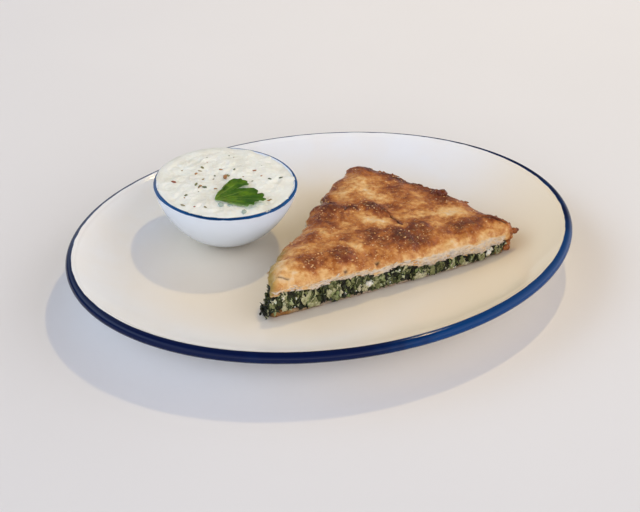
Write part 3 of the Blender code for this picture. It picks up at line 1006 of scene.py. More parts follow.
@dataclass
class Outline:
    """The wedge in plan, as even steps anticlockwise from the blunt tip's front corner."""

    steps: int = 640
    corners: tuple = ((-54.0, -49.0, 4.5), (107.0, -42.0, 5.0), (44.0, 63.0, 8.0), (-50.0, -32.0, 11.0))
    bulge: float = 5.0 * MM
    bulge_reach: float = 12.0 * MM
    notches: tuple = (
        Notch(-14.0, 3.0, 9.0, 2.4), Notch(7.0, 25.0, 4.5, 2.8), Notch(35.0, 52.0, 7.0, 2.2),
        Notch(-24.0, -7.0, 4.0, 1.4), Notch(-52.0, -40.0, 3.0, 0.8),
    )
    lean_at: tuple = (-51.0, -34.0)
    lean_reach: float = 15.0 * MM
    lean_depth: float = 1.9 * MM
    tuck_reach: float = 13.0 * MM
    tuck_depth: float = 3.4 * MM
    noise: Noise = field(default_factory=lambda: Noise(31))
    points: np.ndarray = field(init=False)
    outward: np.ndarray = field(init=False)
    rim: np.ndarray = field(init=False)
    fold: np.ndarray = field(init=False)
    sides: np.ndarray = field(init=False)
    lean: np.ndarray = field(init=False)
    tuck: np.ndarray = field(init=False)

    def corner(self, i: int) -> np.ndarray:
        """Points on the arc that rounds one corner, in millimetres."""
        before, here, after = (np.array(self.corners[(i + k) % 4][:2]) for k in (-1, 0, 1))
        radius = self.corners[i][2]
        back = (before - here) / np.linalg.norm(before - here)
        ahead = (after - here) / np.linalg.norm(after - here)
        half = math.acos(float(back @ ahead)) / 2.0
        middle = (back + ahead) / np.linalg.norm(back + ahead)
        centre = here + middle * radius / math.sin(half)
        start, end = (here + way * radius / math.tan(half) - centre for way in (back, ahead))
        first, last = (math.atan2(p[1], p[0]) for p in (start, end))
        turn = (last - first + math.pi) % (2.0 * math.pi) - math.pi
        angles = first + turn * np.linspace(0.0, 1.0, 12)
        return centre + radius * np.stack([np.cos(angles), np.sin(angles)], 1)

    @staticmethod
    def bow(path: np.ndarray, start: np.ndarray, run: np.ndarray) -> np.ndarray:
        """How far the rim bows out beside each point, from 0 at its ends to 1 half way along."""
        return np.sin(math.pi * np.clip((path - start) @ run / (run @ run), 0.0, 1.0))

    @staticmethod
    def spaced(path: np.ndarray, count: int) -> np.ndarray:
        """Points evenly spaced along a closed path."""
        closed = np.concatenate([path, path[:1]])
        length = np.concatenate([[0.0], np.cumsum(np.linalg.norm(np.diff(closed, axis=0), axis=1))])
        wanted = length[-1] * np.arange(count) / count
        return np.stack([np.interp(wanted, length, closed[:, k]) for k in (0, 1)], 1)

    def __post_init__(self) -> None:
        """Draws the outline."""
        path = np.concatenate([self.corner(i) for i in range(4)]) * MM
        path = self.spaced(path, 3000)
        ends = np.array([c[:2] for c in self.corners]) * MM
        start, run = ends[1], ends[2] - ends[1]
        way = np.array([run[1], -run[0]]) / np.linalg.norm(run)
        bow = self.bow(path, start, run)
        near = 1.0 - ease(np.abs((path - start) @ way), 0.0, self.bulge_reach)
        path = path + way * (self.bulge * bow * near)[:, None]
        path = self.spaced(path, self.steps)
        out = self.ways(path)
        for notch in self.notches:
            gone = np.linalg.norm(path - np.array([notch.x, notch.y]) * MM, axis=1) / (notch.reach * MM)
            path = path - out * (notch.depth * MM * np.exp(-(gone**4)))[:, None]
        flat = np.column_stack([path, np.zeros(len(path))])
        torn = np.argmin([line_distance(path, ends[[i, (i + 1) % 4]]) for i in range(4)], axis=0)
        rough = np.where(torn == Side.BACK_CUT.value, 0.8 * MM, 0.4 * MM)
        path = path + out * (rough * self.noise.layered(flat, 7.0 * MM, 3))[:, None]
        self.points = path
        self.outward = self.ways(path)
        self.rim = 1.0 - ease(np.abs((path - start) @ way) - self.bulge, 0.0, self.bulge_reach)
        sides = [line_distance(path, ends[[i, (i + 1) % 4]]) for i in range(4)]
        bulge = self.bulge * self.bow(path, start, run)
        sides[Side.RIM.value] = np.abs(sides[Side.RIM.value] - bulge)
        self.sides = np.argmin(sides, axis=0)
        fold = np.where(self.sides == Side.FRONT_CUT.value, ease(self.rim, 0.55, 0.95), ease(self.rim))
        fold = np.where(self.sides == Side.BACK_CUT.value, 0.0, fold)
        self.fold = np.convolve(np.pad(fold, 4, mode="wrap"), np.full(9, 1.0 / 9.0), mode="valid")
        gone = np.linalg.norm(path - np.array(self.lean_at) * MM, axis=1) / self.lean_reach
        front = np.clip(-out[:, 1], 0.0, 1.0)
        self.lean = self.lean_depth * np.exp(-(gone**2)) * (1.0 - front)
        gone = np.linalg.norm(path - ends[1], axis=1) / self.tuck_reach
        self.tuck = self.tuck_depth * np.exp(-(gone**2)) * ease(self.fold, 0.0, 0.5)

    @staticmethod
    def ways(path: np.ndarray) -> np.ndarray:
        """The outward way in plan at each point of a closed anticlockwise path."""
        ahead = np.roll(path, -2, axis=0) - np.roll(path, 2, axis=0)
        out = np.stack([ahead[:, 1], -ahead[:, 0]], 1)
        return out / np.linalg.norm(out, axis=1, keepdims=True)


PATCHES = (
    Patch(45, 54, 9, 6, -60, 0.32, 0.8), Patch(54, 46, 6, 4, -60, 0.25, 0.0),
    Patch(64, 31, 14, 6, -62, 0.27, 0.3), Patch(9, 0, 12, 9, 20, 0.10, 0.0),
    Patch(52, 0, 6, 9, 0, 0.10, 0.0), Patch(37, -4, 3, 1.4, -60, 0.22, 0.7),
    Patch(38.5, -13, 5, 1.3, -72, 0.25, 0.0), Patch(56, 18, 6, 5, 0, 0.22, 0.5),
    Patch(57, 9, 5, 3, -50, 0.15, 0.0), Patch(79, 8, 8, 5, -60, 0.28, 0.5),
    Patch(72, -2, 7, 5, -40, 0.14, 0.0), Patch(64, -7, 5, 3, 0, 0.10, 0.0),
    Patch(95, -20, 8, 4, -65, 0.18, 0.0), Patch(26, 43, 7, 5, 45, 0.20, 0.6),
    Patch(12, 27, 6, 3, 60, 0.30, 1.0), Patch(9, 14, 6, 5, 60, 0.45, 1.8),
    Patch(1, 18, 3, 3, 0, 0.30, 1.2), Patch(2, 4, 8, 7, 45, 0.20, 0.4),
    Patch(21, 8, 7, 3.5, -10, 0.28, 0.8), Patch(33, 2, 6.5, 4, -60, 0.40, 1.3),
    Patch(43, 3, 4, 2.5, -20, 0.25, -0.4),
    Patch(46, 0, 4, 3, 0, 0.12, 0.0), Patch(22, -19, 9, 3, 0, 0.30, 0.3),
    Patch(17, -27, 6, 6, 0, 0.22, 0.0), Patch(27, -30, 7, 7, 0, 0.22, 0.3),
    Patch(36, -28, 5.5, 5.5, 0, 0.42, 0.8), Patch(48, -25, 5.5, 5.5, 0, 0.45, 1.0),
    Patch(43, -36, 8, 4, 0, 0.32, 0.3), Patch(3, -20, 4, 4, 0, 0.25, 0.4),
    Patch(11, -38, 6, 4, 0, 0.12, 0.0), Patch(-14, -14, 5, 4.5, 20, 0.20, 0.6),
    Patch(-26, -13, 6, 3.5, 45, 0.10, 0.3), Patch(-26, -36, 7.5, 5, 10, 0.30, 0.7),
    Patch(-16, -36, 5, 4, 0, 0.14, 0.0), Patch(-5, -36, 6.5, 5, 0, 0.32, 0.8),
    Patch(-24, -43, 5, 2.5, 0, 0.12, 0.0), Patch(-8, -42, 6, 2.5, 0, 0.10, 0.0),
    Patch(78, -32, 8.5, 4.5, -5, 0.38, 0.9), Patch(70, -30, 8, 6, 0, 0.15, 0.0),
    Patch(60, -33, 4, 3, 0, 0.08, 0.2), Patch(94, -31, 7, 2.4, -42, 0.34, 1.1),
    Patch(78.5, 4.5, 3.2, 2.6, -60, 0.30, 1.2),
    Patch(38, 16, 9, 4, -60, -0.22, -0.3), Patch(20, 23, 5, 4, 60, -0.16, -0.3),
    Patch(37, 32, 8, 6, -20, -0.10, 0.0), Patch(28, -10, 7, 4.5, -45, -0.24, 0.4),
    Patch(46, -14, 4, 4, 0, -0.08, 0.0), Patch(75, -16, 9, 5, -5, -0.18, 0.2),
    Patch(61, -13, 6, 3, 0, -0.06, 0.0), Patch(59, -1, 6, 4, 30, -0.10, 0.0),
    Patch(-27, -24, 7, 4, 20, -0.10, 0.0), Patch(-7, -10, 6, 4, -45, -0.10, 0.0),
    Patch(-40, -36, 9, 7, 60, -0.20, 0.0), Patch(6, -33, 5, 2.8, -60, -0.20, -0.3),
    Patch(9, -8, 3, 2, 0, -0.06, 0.0), Patch(91, -37, 6, 2.5, -20, -0.12, 0.0),
    Patch(-18, -46, 18, 2.2, 0, -0.16, 0.0), Patch(60, -42, 30, 1.8, 2, -0.12, 0.0),
    Patch(-46, -45, 5, 3, 0, -0.14, 0.0), Patch(41, -21, 4, 2, -20, -0.18, -0.3),
)

BASE_STOPS = ((0.0, "b7a79a"), (0.3, "a89172"), (0.5, "a37a42"), (0.75, "86502a"), (1.0, "553223"))

# Each crack is darkened inside with painted shade.
CREASES = (
    Crease(((35, 1), (36.5, -3), (38.6, -6), (38.8, -9)), 0.5, 1.0, 0.45),
    Crease(((38.6, -8), (38.9, -11), (40.4, -13), (40, -16), (41, -18)), 0.62, 2.0, 1.0),
    Crease(((15, 5), (17.5, 7.5), (20.5, 8), (22.5, 4.5)), 0.45, 0.8, 0.7),
    Crease(((3, 19), (8, 19.5), (11, 16)), 0.5, 1.0, 0.8),
    Crease(((-46.5, -42.5), (-41, -45)), 0.4, 0.6, 0.8),
    Crease(((-8, -46), (-7, -45.5)), 0.8, 0.8, 0.9),
    Crease(((12, -44), (13.5, -43.5)), 0.9, 0.8, 0.9),
    Crease(((88, -28.5), (94, -33.5), (99, -37)), 0.5, 1.1, 0.9),
    Crease(((58, 38), (64, 29), (68, 21)), 0.5, 0.7, 0.5),
    Crease(((44, 4), (42, 1.5)), 1.0, 0.8, 0.35),
)


@dataclass
class Wedge:
    """The slice of pie: a folded top crust, spinach and feta, and a thin base crust."""

    plate: Plate
    outline: Outline = field(default_factory=Outline)
    middle: tuple = (30.0, -12.0)
    gap: float = 0.3 * MM
    tip_height: float = 18.5 * MM
    front_height: float = 13.0 * MM
    back_height: float = 20.5 * MM
    crown: float = 5.5 * MM
    shoulder: float = 16.0 * MM
    base_thickness: float = 1.7 * MM
    fold_wall: float = 3.4 * MM
    lip: float = 2.0 * MM
    lip_reach: float = 8.0 * MM
    ripples: tuple = ((24.0, 0.75, 2), (9.0, 0.7, 3), (4.6, 0.28, 2), (1.9, 0.10, 2))
    patch_lift: float = 1.35
    noise: Noise = field(default_factory=lambda: Noise(47))

    def floor(self, plan: np.ndarray) -> np.ndarray:
        """Height of the pie's underside, which lies along the plate."""
        return self.plate.top(plan[:, 0], plan[:, 1]) + self.gap

    def edge_height(self, plan: np.ndarray) -> np.ndarray:
        """Height of the cut edge over the underside, on a slope through three corners."""
        tip, front, back = (np.array(c[:2]) * MM for c in self.outline.corners[:3])
        ahead, aside, here = front - tip, back - tip, plan - tip
        area = ahead[0] * aside[1] - ahead[1] * aside[0]
        to_front = (here[:, 0] * aside[1] - here[:, 1] * aside[0]) / area
        to_back = (ahead[0] * here[:, 1] - ahead[1] * here[:, 0]) / area
        front_rise = (self.front_height - self.tip_height) * to_front
        back_rise = (self.back_height - self.tip_height) * to_back
        return self.tip_height + (front_rise + back_rise)

    def strayed(self, plan: np.ndarray, distance: float) -> np.ndarray:
        """Places in plan in millimetres, shifted here and there so that patches have wandering edges."""
        flat = np.column_stack([plan, np.zeros(len(plan))])
        shift = [self.noise.layered(flat + k, 6.0 * MM, 3) for k in (0.3, 0.7)]
        return plan / MM + distance * np.stack(shift, 1)

    @staticmethod
    def patch_weight(spot: np.ndarray, patch: Patch) -> np.ndarray:
        """How strongly a patch shows at places in millimetres, from 0 to 1."""
        away = spot - (patch.x, patch.y)
        turn = math.radians(patch.heading)
        along = (away[:, 0] * math.cos(turn) + away[:, 1] * math.sin(turn)) / patch.length
        across = (away[:, 1] * math.cos(turn) - away[:, 0] * math.sin(turn)) / patch.width
        return np.exp(-0.6 * (along**2 + across**2) ** 1.35)

    def top(self, plan: np.ndarray) -> np.ndarray:
        """Height of the baked surface: crowned, softly lumpy, lifted where it browned, and cracked."""
        closed = np.concatenate([self.outline.points[::4], self.outline.points[:1]])
        inward = np.clip(line_distance(plan, closed) / self.shoulder, 0.0, 1.0)
        z = self.floor(plan) + self.edge_height(plan) + self.crown * (1.0 - (1.0 - inward) ** 2)
        flat = np.column_stack([plan, np.zeros(len(plan))])
        for size, height, layers in self.ripples:
            z = z + height * MM * self.noise.layered(flat, size * MM, layers)
        ends = np.array([(88.0, -8.0), (85.0, 2.0), (76.0, 20.0), (62.0, 42.0), (56.0, 50.0)]) * MM
        lip = np.exp(-((line_distance(plan, ends) / self.lip_reach) ** 2))
        z = z + lip * self.lip * (1.0 + 0.35 * self.noise.layered(flat, 8.0 * MM, 2))
        spot = self.strayed(plan, 0.9)
        for patch in PATCHES:
            if patch.lift:
                z = z + self.patch_lift * patch.lift * MM * self.patch_weight(spot, patch)
        for crease in CREASES:
            away = line_distance(plan, np.array(crease.line, float) * MM) / (crease.width * MM)
            z = z - crease.depth * MM * np.exp(-(away**2))
        return z

    def bake(self, plan: np.ndarray) -> np.ndarray:
        """How far the surface is browned, from 0 for raw to 1 for darkest."""
        flat = np.column_stack([plan, np.full(len(plan), 0.02)])
        turned_x, turned_y = plan[:, 0] * 0.92 - plan[:, 1] * 0.4, plan[:, 0] * 0.4 + plan[:, 1] * 0.92
        streaked = np.column_stack([turned_x * 0.4, turned_y, np.full(len(plan), 0.05)])
        value = 0.45 + 0.06 * self.noise.layered(flat, 14.0 * MM, 3)
        value = value + 0.08 * self.noise.layered(flat, 4.0 * MM, 3)
        value = value + 0.09 * self.noise.layered(streaked, 5.0 * MM, 3)
        spot = self.strayed(plan, 2.2)
        for patch in PATCHES:
            value = value + patch.bake * self.patch_weight(spot, patch)
        ends = np.array([c[:2] for c in self.outline.corners[1:3]]) * MM
        value = value + 0.18 * (1.0 - ease(line_distance(plan, ends), -2.0 * MM, 12.0 * MM))
        return np.clip(value, 0.0, 1.0)

    def char(self, plan: np.ndarray) -> np.ndarray:
        """Painted shade inside the cracks: how dark the surface is drawn there."""
        value = np.zeros(len(plan))
        for crease in CREASES:
            away = line_distance(plan, np.array(crease.line, float) * MM) / (crease.width * MM)
            value = np.maximum(value, crease.char * np.exp(-((away / 0.9) ** 2)))
        return value

    def olive(self, plan: np.ndarray) -> np.ndarray:
        """How far the greens show through the thin pastry along the blunt tip."""
        line = np.array(((-51.5, -46.0), (-49.0, -37.0), (-43.0, -27.0), (-34.0, -18.0))) * MM
        return 0.75 * np.exp(-((line_distance(plan, line) / (3.0 * MM)) ** 2))

    def crust_thickness(self) -> np.ndarray:
        """Depth of the pale dough under the edge's skin, round the outline."""
        x = self.outline.points[:, 0] / MM
        known = (
            (-54, 1.6), (-40, 1.8), (-34, 2.6), (-29, 4.8), (-25, 4.4), (-21, 1.8), (-15, 2.0),
            (-8, 3.4), (3, 2.2), (12, 4.8), (20, 4.4), (25, 2.2), (34, 4.0), (46, 6.4), (70, 5.6),
            (78, 8.0), (88, 6.4), (95, 3.0), (99, 0.8),
        )
        level = np.interp(x, [k[0] for k in known], [k[1] for k in known])
        level = np.where(self.outline.sides == Side.BACK_CUT.value, 3.4, level)
        level = np.where(self.outline.sides == Side.TIP.value, 9.0, level)
        level = np.convolve(np.pad(level, 7, mode="wrap"), np.full(15, 1.0 / 15.0), mode="valid")
        flat = np.column_stack([self.outline.points, np.zeros(len(x))])
        return (level + 0.9 * self.noise.layered(flat, 5.0 * MM, 3)).clip(0.6) * MM

    def edge_rings(self) -> tuple[list[np.ndarray], list[np.ndarray], list[np.ndarray]]:
        """The crust's edge, from its skin down the cut face or down the folded rim.

        Returns:
            Rings of points, and their browning and darkness.
        """
        cut = (
            (1.9, 0.0), (1.35, 0.08), (0.85, 0.17), (0.45, 0.27), (0.2, 0.38), (0.08, 0.49),
            (0.02, 0.6), (0.0, 0.71), (0.03, 0.82), (0.12, 0.92), (0.4, 1.0), (1.8, 1.02),
        )
        folded = (
            (2.6, 0.0), (1.9, 0.05), (1.3, 0.11), (0.8, 0.2), (0.4, 0.31), (0.1, 0.44),
            (0.0, 0.57), (-0.1, 0.7), (0.1, 0.82), (0.3, 0.92), (0.2, 1.0), (2.4, 1.0),
        )
        out = self.outline.outward
        plan = self.outline.points - out * self.outline.lean[:, None]
        fold = self.outline.fold
        first = plan - out * ((cut[0][0] + (folded[0][0] - cut[0][0]) * fold) * MM)[:, None]
        high = self.top(first)
        deep = 2.2 * MM + self.crust_thickness()
        base = self.floor(plan) + self.base_thickness * 0.6
        drop = deep * (1.0 - fold) + (high - base) * fold
        skin = self.bake(first)
        tip = ease(-(plan[:, 0] + 26.0 * MM), 0.0, 10.0 * MM) * (1.0 - fold)
        rings, browned, dark = [], [], []
        known = np.linspace(0.0, 1.0, len(cut))
        wanted = np.linspace(0.0, 1.0, 30)
        columns = [[pair[k] for pair in side] for side in (cut, folded) for k in (0, 1)]
        profiles = [np.interp(wanted, known, column) for column in columns]
        for cut_in, cut_share, fold_in, fold_share in zip(*profiles):
            share = cut_share + (fold_share - cut_share) * fold
            inset = (cut_in + (fold_in - cut_in) * fold) * MM + self.outline.tuck * share**2.0
            ring = np.column_stack([plan - out * inset[:, None], high - drop * share])
            layers = self.noise.layered(ring * (1.0, 1.0, 2.5), 4.0 * MM, 4)
            amount = 0.6 * MM * ease(np.full(len(plan), cut_share), 0.1, 0.4) * (1.0 + 0.9 * fold)
            ring[:, :2] += out * (layers * amount)[:, None]
            rings.append(ring)
            pale = 0.06 + 0.18 * self.noise.layered(ring * (1.0, 1.0, 2.0), 2.6 * MM, 3)
            pale = pale + 0.26 * tip
            under = ease(drop * share / MM + 1.1 * layers, 1.2, 3.6)
            cut_tone = skin * (1.0 - under) + pale * under
            fold_tone = skin + 0.02 * under + 0.14 * layers
            browned.append(np.clip(cut_tone * (1.0 - fold) + fold_tone * fold, 0.0, 1.0))
            dark.append(self.char(ring[:, :2]) * (1.0 - under * 0.5))
        self.edge = np.array(rings)
        self.cut_bottom = rings[-3][:, 2]
        return rings, browned, dark

    def build_top_crust(self) -> bpy.types.Object:
        """Makes the top crust, with its skin, cut face, folded rim and underside."""
        rings, browned, dark = self.edge_rings()
        middle = np.array(self.middle) * MM
        edge = rings[0][:, :2]
        shares = np.linspace(0.012, 0.992, 112)[:, None, None]
        plan = (middle + (edge - middle) * shares).reshape(-1, 2)
        steps = self.outline.steps
        inner_rings = list(np.column_stack([plan, self.top(plan)]).reshape(-1, steps, 3))
        inner_bake = list(self.bake(plan).reshape(-1, steps))
        inner_dark = list(self.char(plan).reshape(-1, steps))
        under = []
        inside = rings[-1][:, :2] - self.outline.outward * (1.0 * MM)
        for share in (1.0, 0.8, 0.5, 0.2):
            plan = middle + (inside - middle) * share
            under.append(np.column_stack([plan, self.top(plan) - 4.6 * MM]))
        order = under[::-1] + rings[::-1] + inner_rings[::-1]
        zero = [np.full(self.outline.steps, 0.05)] * len(under)
        tones = zero + browned[::-1] + inner_bake[::-1]
        crack_shades = zero + dark[::-1] + inner_dark[::-1]
        high = float(self.top(middle[None])[0])
        points, faces = loft(np.array(order), np.array([*middle, high - 4.6 * MM]), np.array([*middle, high]))
        values = {
            "bake": np.concatenate([*tones, [0.05], self.bake(middle[None])]),
            "char": np.concatenate([*crack_shades, [0.0, 0.0]]),
            "olive": self.olive(points[:, :2]),
        }
        crust = make_mesh("pie_baked_crust", points, faces, BakedDough("baked_filo_crust").material(), values)
        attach(crust, BODY)
        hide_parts("pie_top_crust")
        return crust

    def build_base_crust(self) -> bpy.types.Object:
        """Makes the base crust: a thin sheet with a ragged edge, browned at the pie's corners."""
        plan, out = self.outline.points, self.outline.outward
        flat = np.column_stack([plan, np.ones(len(plan))])
        ragged = (0.7 * self.noise.layered(flat, 7.0 * MM, 3) - 0.3) * MM
        edge = plan + out * (ragged - self.outline.tuck)[:, None]
        middle = np.array(self.middle) * MM
        rings, tones = [], []
        corners = np.array([c[:2] for c in self.outline.corners[:2]]) * MM
        near = np.min([np.linalg.norm(edge - c, axis=1) for c in corners], axis=0)
        tone = 0.24 + 0.34 * (1.0 - ease(near, 6.0 * MM, 24.0 * MM))
        tone = tone + 0.12 * self.noise.layered(flat, 5.0 * MM, 2)
        tone = tone + 0.15 * self.outline.rim
        section = (
            (-8.0, 0.0), (-2.0, 0.0), (-0.5, 0.0), (-0.1, 0.25),
            (0.0, 0.5), (-0.15, 0.8), (-0.6, 1.0), (-8.0, 1.0),
        )
        for inset, share in section:
            here = edge + out * (inset * MM)
            heel = 1.0 - ease(np.linalg.norm(edge - corners[1], axis=1), 5.0 * MM, 13.0 * MM)
            thick = self.base_thickness * (1.0 + 1.2 * (1.0 - ease(near, 6.0 * MM, 26.0 * MM)) + 1.2 * heel)
            rings.append(np.column_stack([here, self.floor(here) + thick * share]))
            tones.append(tone)
        low = np.array([*middle, float(self.floor(middle[None])[0])])
        points, faces = loft(np.array(rings), low, low + (0.0, 0.0, self.base_thickness))
        values = {"bake": np.concatenate([*tones, [0.2, 0.2]]).clip(0.0, 1.0)}
        dough = BakedDough("baked_base_dough", BASE_STOPS).material()
        base = make_mesh("pie_base_sheet", points, faces, dough, values)
        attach(base, BODY)
        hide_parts("pie_base_crust")
        return base


@dataclass
class Filling:
    """The spinach and feta: a rough core, with shreds, stems and crumbs along the cuts."""

    wedge: Wedge
    shapes: Shapes = field(default_factory=lambda: Shapes(59))
    shred_stops: tuple = (
        (0.0, "16150a"), (0.2, "232b13"), (0.4, "474f27"), (0.6, "757a49"), (0.8, "a5a473"), (1.0, "d2cda9"),
    )
    stem_stops: tuple = ((0.0, "77864b"), (0.5, "a0ab74"), (1.0, "c6cba4"))
    bits: tuple = (
        (24.0, 14.0, 5.0, 0.84), (29.0, 11.0, 3.5, 0.78), (59.0, 12.0, 3.5, 0.9), (66.0, 12.0, 3.0, 0.86),
        (43.0, 17.0, 2.6, 0.80), (45.0, 13.0, 2.0, 0.95), (9.0, 20.5, 3.2, 0.95), (5.0, 17.5, 1.6, 1.0),
        (103.0, 12.0, 3.4, 0.66), (105.0, 8.5, 2.6, 0.62), (124.0, 12.5, 2.6, 0.90), (126.0, 9.5, 2.0, 0.95),
        (69.0, 13.0, 3.2, 0.68), (94.0, 9.5, 3.6, 0.95), (98.0, 11.0, 2.8, 0.92), (136.0, 11.5, 3.0, 0.72),
        (42.0, 8.0, 3.0, 0.66), (149.0, 20.0, 2.4, 0.04), (151.0, 22.0, 1.8, 0.0), (87.0, 16.0, 2.0, 0.62),
        (50.0, 18.0, 2.6, 0.6), (110.0, 14.0, 2.2, 0.66),
    )
    feta: tuple = (
        (141.0, 15.0, 2.5), (143.0, 17.5, 1.4), (62.0, 14.0, 3.0), (118.0, 8.5, 1.0), (6.0, 18.0, 1.2),
        (10.0, 19.5, 1.3),
    )
    scattered: tuple = ((Side.FRONT_CUT, 900, 0.97), (Side.BACK_CUT, 560, 0.97), (Side.TIP, 60, 0.45))
    tufts: tuple = ((0.45, 0.35, 5.4, 66, 2.2), (0.3, 1.8, 0.9, 24, 1.0))

    def __post_init__(self) -> None:
        """Finds the lowest and highest height of the filling round the outline."""
        outline = self.wedge.outline
        self.low = self.wedge.floor(outline.points) + self.wedge.base_thickness * 0.8
        self.high = self.wedge.cut_bottom
        self.cuts = {}
        for side in Side:
            found = np.flatnonzero((outline.sides == side.value) & (outline.fold < 0.35))
            gaps = np.flatnonzero(np.diff(found) > 1)
            self.cuts[side] = np.roll(found, -(gaps[0] + 1)) if len(gaps) else found

    def build_core(self, material: bpy.types.Material) -> bpy.types.Object:
        """Makes the core that fills the space between the crusts."""
        outline, wedge = self.wedge.outline, self.wedge
        rings, tones = [], []
        for share in np.linspace(0.0, 1.0, 18):
            inset = 1.0 * MM + wedge.fold_wall * outline.fold + outline.lean * share + outline.tuck
            inset = inset[:, None]
            z = self.low - 0.3 * MM + (self.high + 0.8 * MM - self.low) * share
            ring = np.column_stack([outline.points - outline.outward * inset, z])
            push = 0.9 * MM * wedge.noise.layered(ring, 4.2 * MM, 3)
            ring[:, :2] += outline.outward * push[:, None]
            rings.append(ring)
            tones.append(0.16 + 0.34 * wedge.noise.layered(ring * (1.0, 1.0, 0.5), 4.0 * MM, 3))
        middle = np.array(wedge.middle) * MM
        base = float(wedge.floor(middle[None])[0]) + wedge.base_thickness
        bottom, top = np.array([*middle, base]), np.array([*middle, base + 12.0 * MM])
        points, faces = loft(np.array(rings), bottom, top)
        values = {"tone": np.concatenate([*tones, [0.3, 0.3]])}
        return make_mesh("pie_filling_core", points, faces, material, values)

    def set_on(
        self,
        shape: np.ndarray,
        side: Side,
        along: float,
        height: float,
        proud: float,
        slant: float,
        tilt: float,
        free: bool = False,
    ) -> tuple[np.ndarray, np.ndarray]:
        """Lays a shape on a cut.

        Args:
            shape: Points with X along the cut, Y up and Z out of it.
            side: Which cut.
            along: Share of the way along the cut.
            height: Share of the way up the filling.
            proud: How far it stands out of the cut.
            slant: Turn in the cut's own plane, in radians.
            tilt: Turn out of that plane, in radians.
            free: Whether it may stand up past the filling.
        Returns:
            The placed points, and the middle of the shape.
        """
        outline, cut = self.wedge.outline, self.cuts[side]
        i = cut[min(len(cut) - 1, int(along * len(cut)))]
        out = outline.outward[i]
        axes = np.array([[-out[1], out[0], 0.0], [0.0, 0.0, 1.0], [out[0], out[1], 0.0]]).T
        turn = np.array(Matrix.Rotation(slant, 3, "Z") @ Matrix.Rotation(tilt, 3, "X"))
        plan = outline.points[i] + out * (proud - outline.lean[i] * height)
        middle = np.array([*plan, self.low[i] + (self.high[i] - self.low[i]) * height])
        placed = shape @ (axes @ turn).T + middle
        if not free:
            placed[:, 2] += min(0.0, self.high[i] + 0.4 * MM - placed[:, 2].max())
        placed[:, 2] = np.maximum(placed[:, 2], self.low[i] - 0.2 * MM)
        return placed, middle

    def scatter(self) -> tuple[Heap, Heap, Heap]:
        """Makes the shreds, stems and crumbs along the three cuts."""
        rng, shapes = self.shapes.rng, self.shapes
        shreds, stems, crumbs = Heap(), Heap(), Heap()
        for side, count, top in self.scattered:
            for _ in range(count):
                length, width = rng.uniform(2.5, 7.0) * MM, rng.uniform(1.0, 3.2) * MM
                shape = shapes.strip(length, width, 0.4 * MM, rng.uniform(-0.2, 0.2))
                along, proud = rng.random(), rng.uniform(-1.5, 0.2) * MM
                height = rng.uniform(0.28 if along < 0.11 and side is Side.FRONT_CUT else 0.1, top)
                slant = math.pi / 2.0 + rng.normal(0.0, 0.55)
                shape, middle = self.set_on(shape, side, along, height, proud, slant, rng.normal(0.0, 0.5))
                clump = float(self.wedge.noise.layered(middle[None] * (1.0, 1.0, 0.5), 6.0 * MM, 2)[0])
                light = 0.26 + 0.75 * clump + rng.choice((-0.2, 0.0, 0.3), p=(0.45, 0.3, 0.25))
                shreds.add(shape, shapes.strip_faces, float(np.clip(light, 0.0, 0.9)))
            for _ in range(count // 8):
                thick, length = rng.uniform(0.8, 1.7) * MM, rng.uniform(3.5, 8.0) * MM
                shape = shapes.strip(length, thick * 1.3, thick * 0.7, rng.uniform(-0.15, 0.15))
                height, proud = rng.uniform(0.12, 0.85) * top, rng.uniform(-1.0, 0.0) * MM
                slant = math.pi / 2.0 + rng.normal(0.0, 0.5)
                shape, _ = self.set_on(shape, side, rng.random(), height, proud, slant, rng.normal(0.0, 0.3))
                stems.add(shape, shapes.strip_faces, rng.random())
            for _ in range(count // 80):
                shape = shapes.crumb(rng.uniform(0.5, 1.0) * MM)
                height, proud = rng.uniform(0.1, 0.85) * top, rng.uniform(-0.9, -0.2) * MM
                shape, _ = self.set_on(shape, side, rng.random(), height, proud, 0.0, 0.0)
                crumbs.add(shape, shapes.ball_faces, 0.5)
        self.place_bits(shreds, crumbs)
        return shreds, stems, crumbs

    def place_bits(self, shreds: Heap, crumbs: Heap) -> None:
        """Places the larger pieces of leek, stalk and feta in the front cut, and the leaves at its tip."""
        rng, shapes = self.shapes.rng, self.shapes
        cut = self.cuts[Side.FRONT_CUT]
        places = self.wedge.outline.points[cut]
        reach = (places[:, 0] - places[0, 0]) / MM + 4.0

        def share_at(along: float, z: float) -> tuple[float, float]:
            """Turns millimetres along the cut and up from the table to shares."""
            k = int(np.argmin(np.abs(reach - along)))
            low, high = self.low[cut[k]], self.high[cut[k]]
            return (k + 0.5) / len(cut), float(np.clip((z * MM - low) / (high - low), 0.03, 0.97))

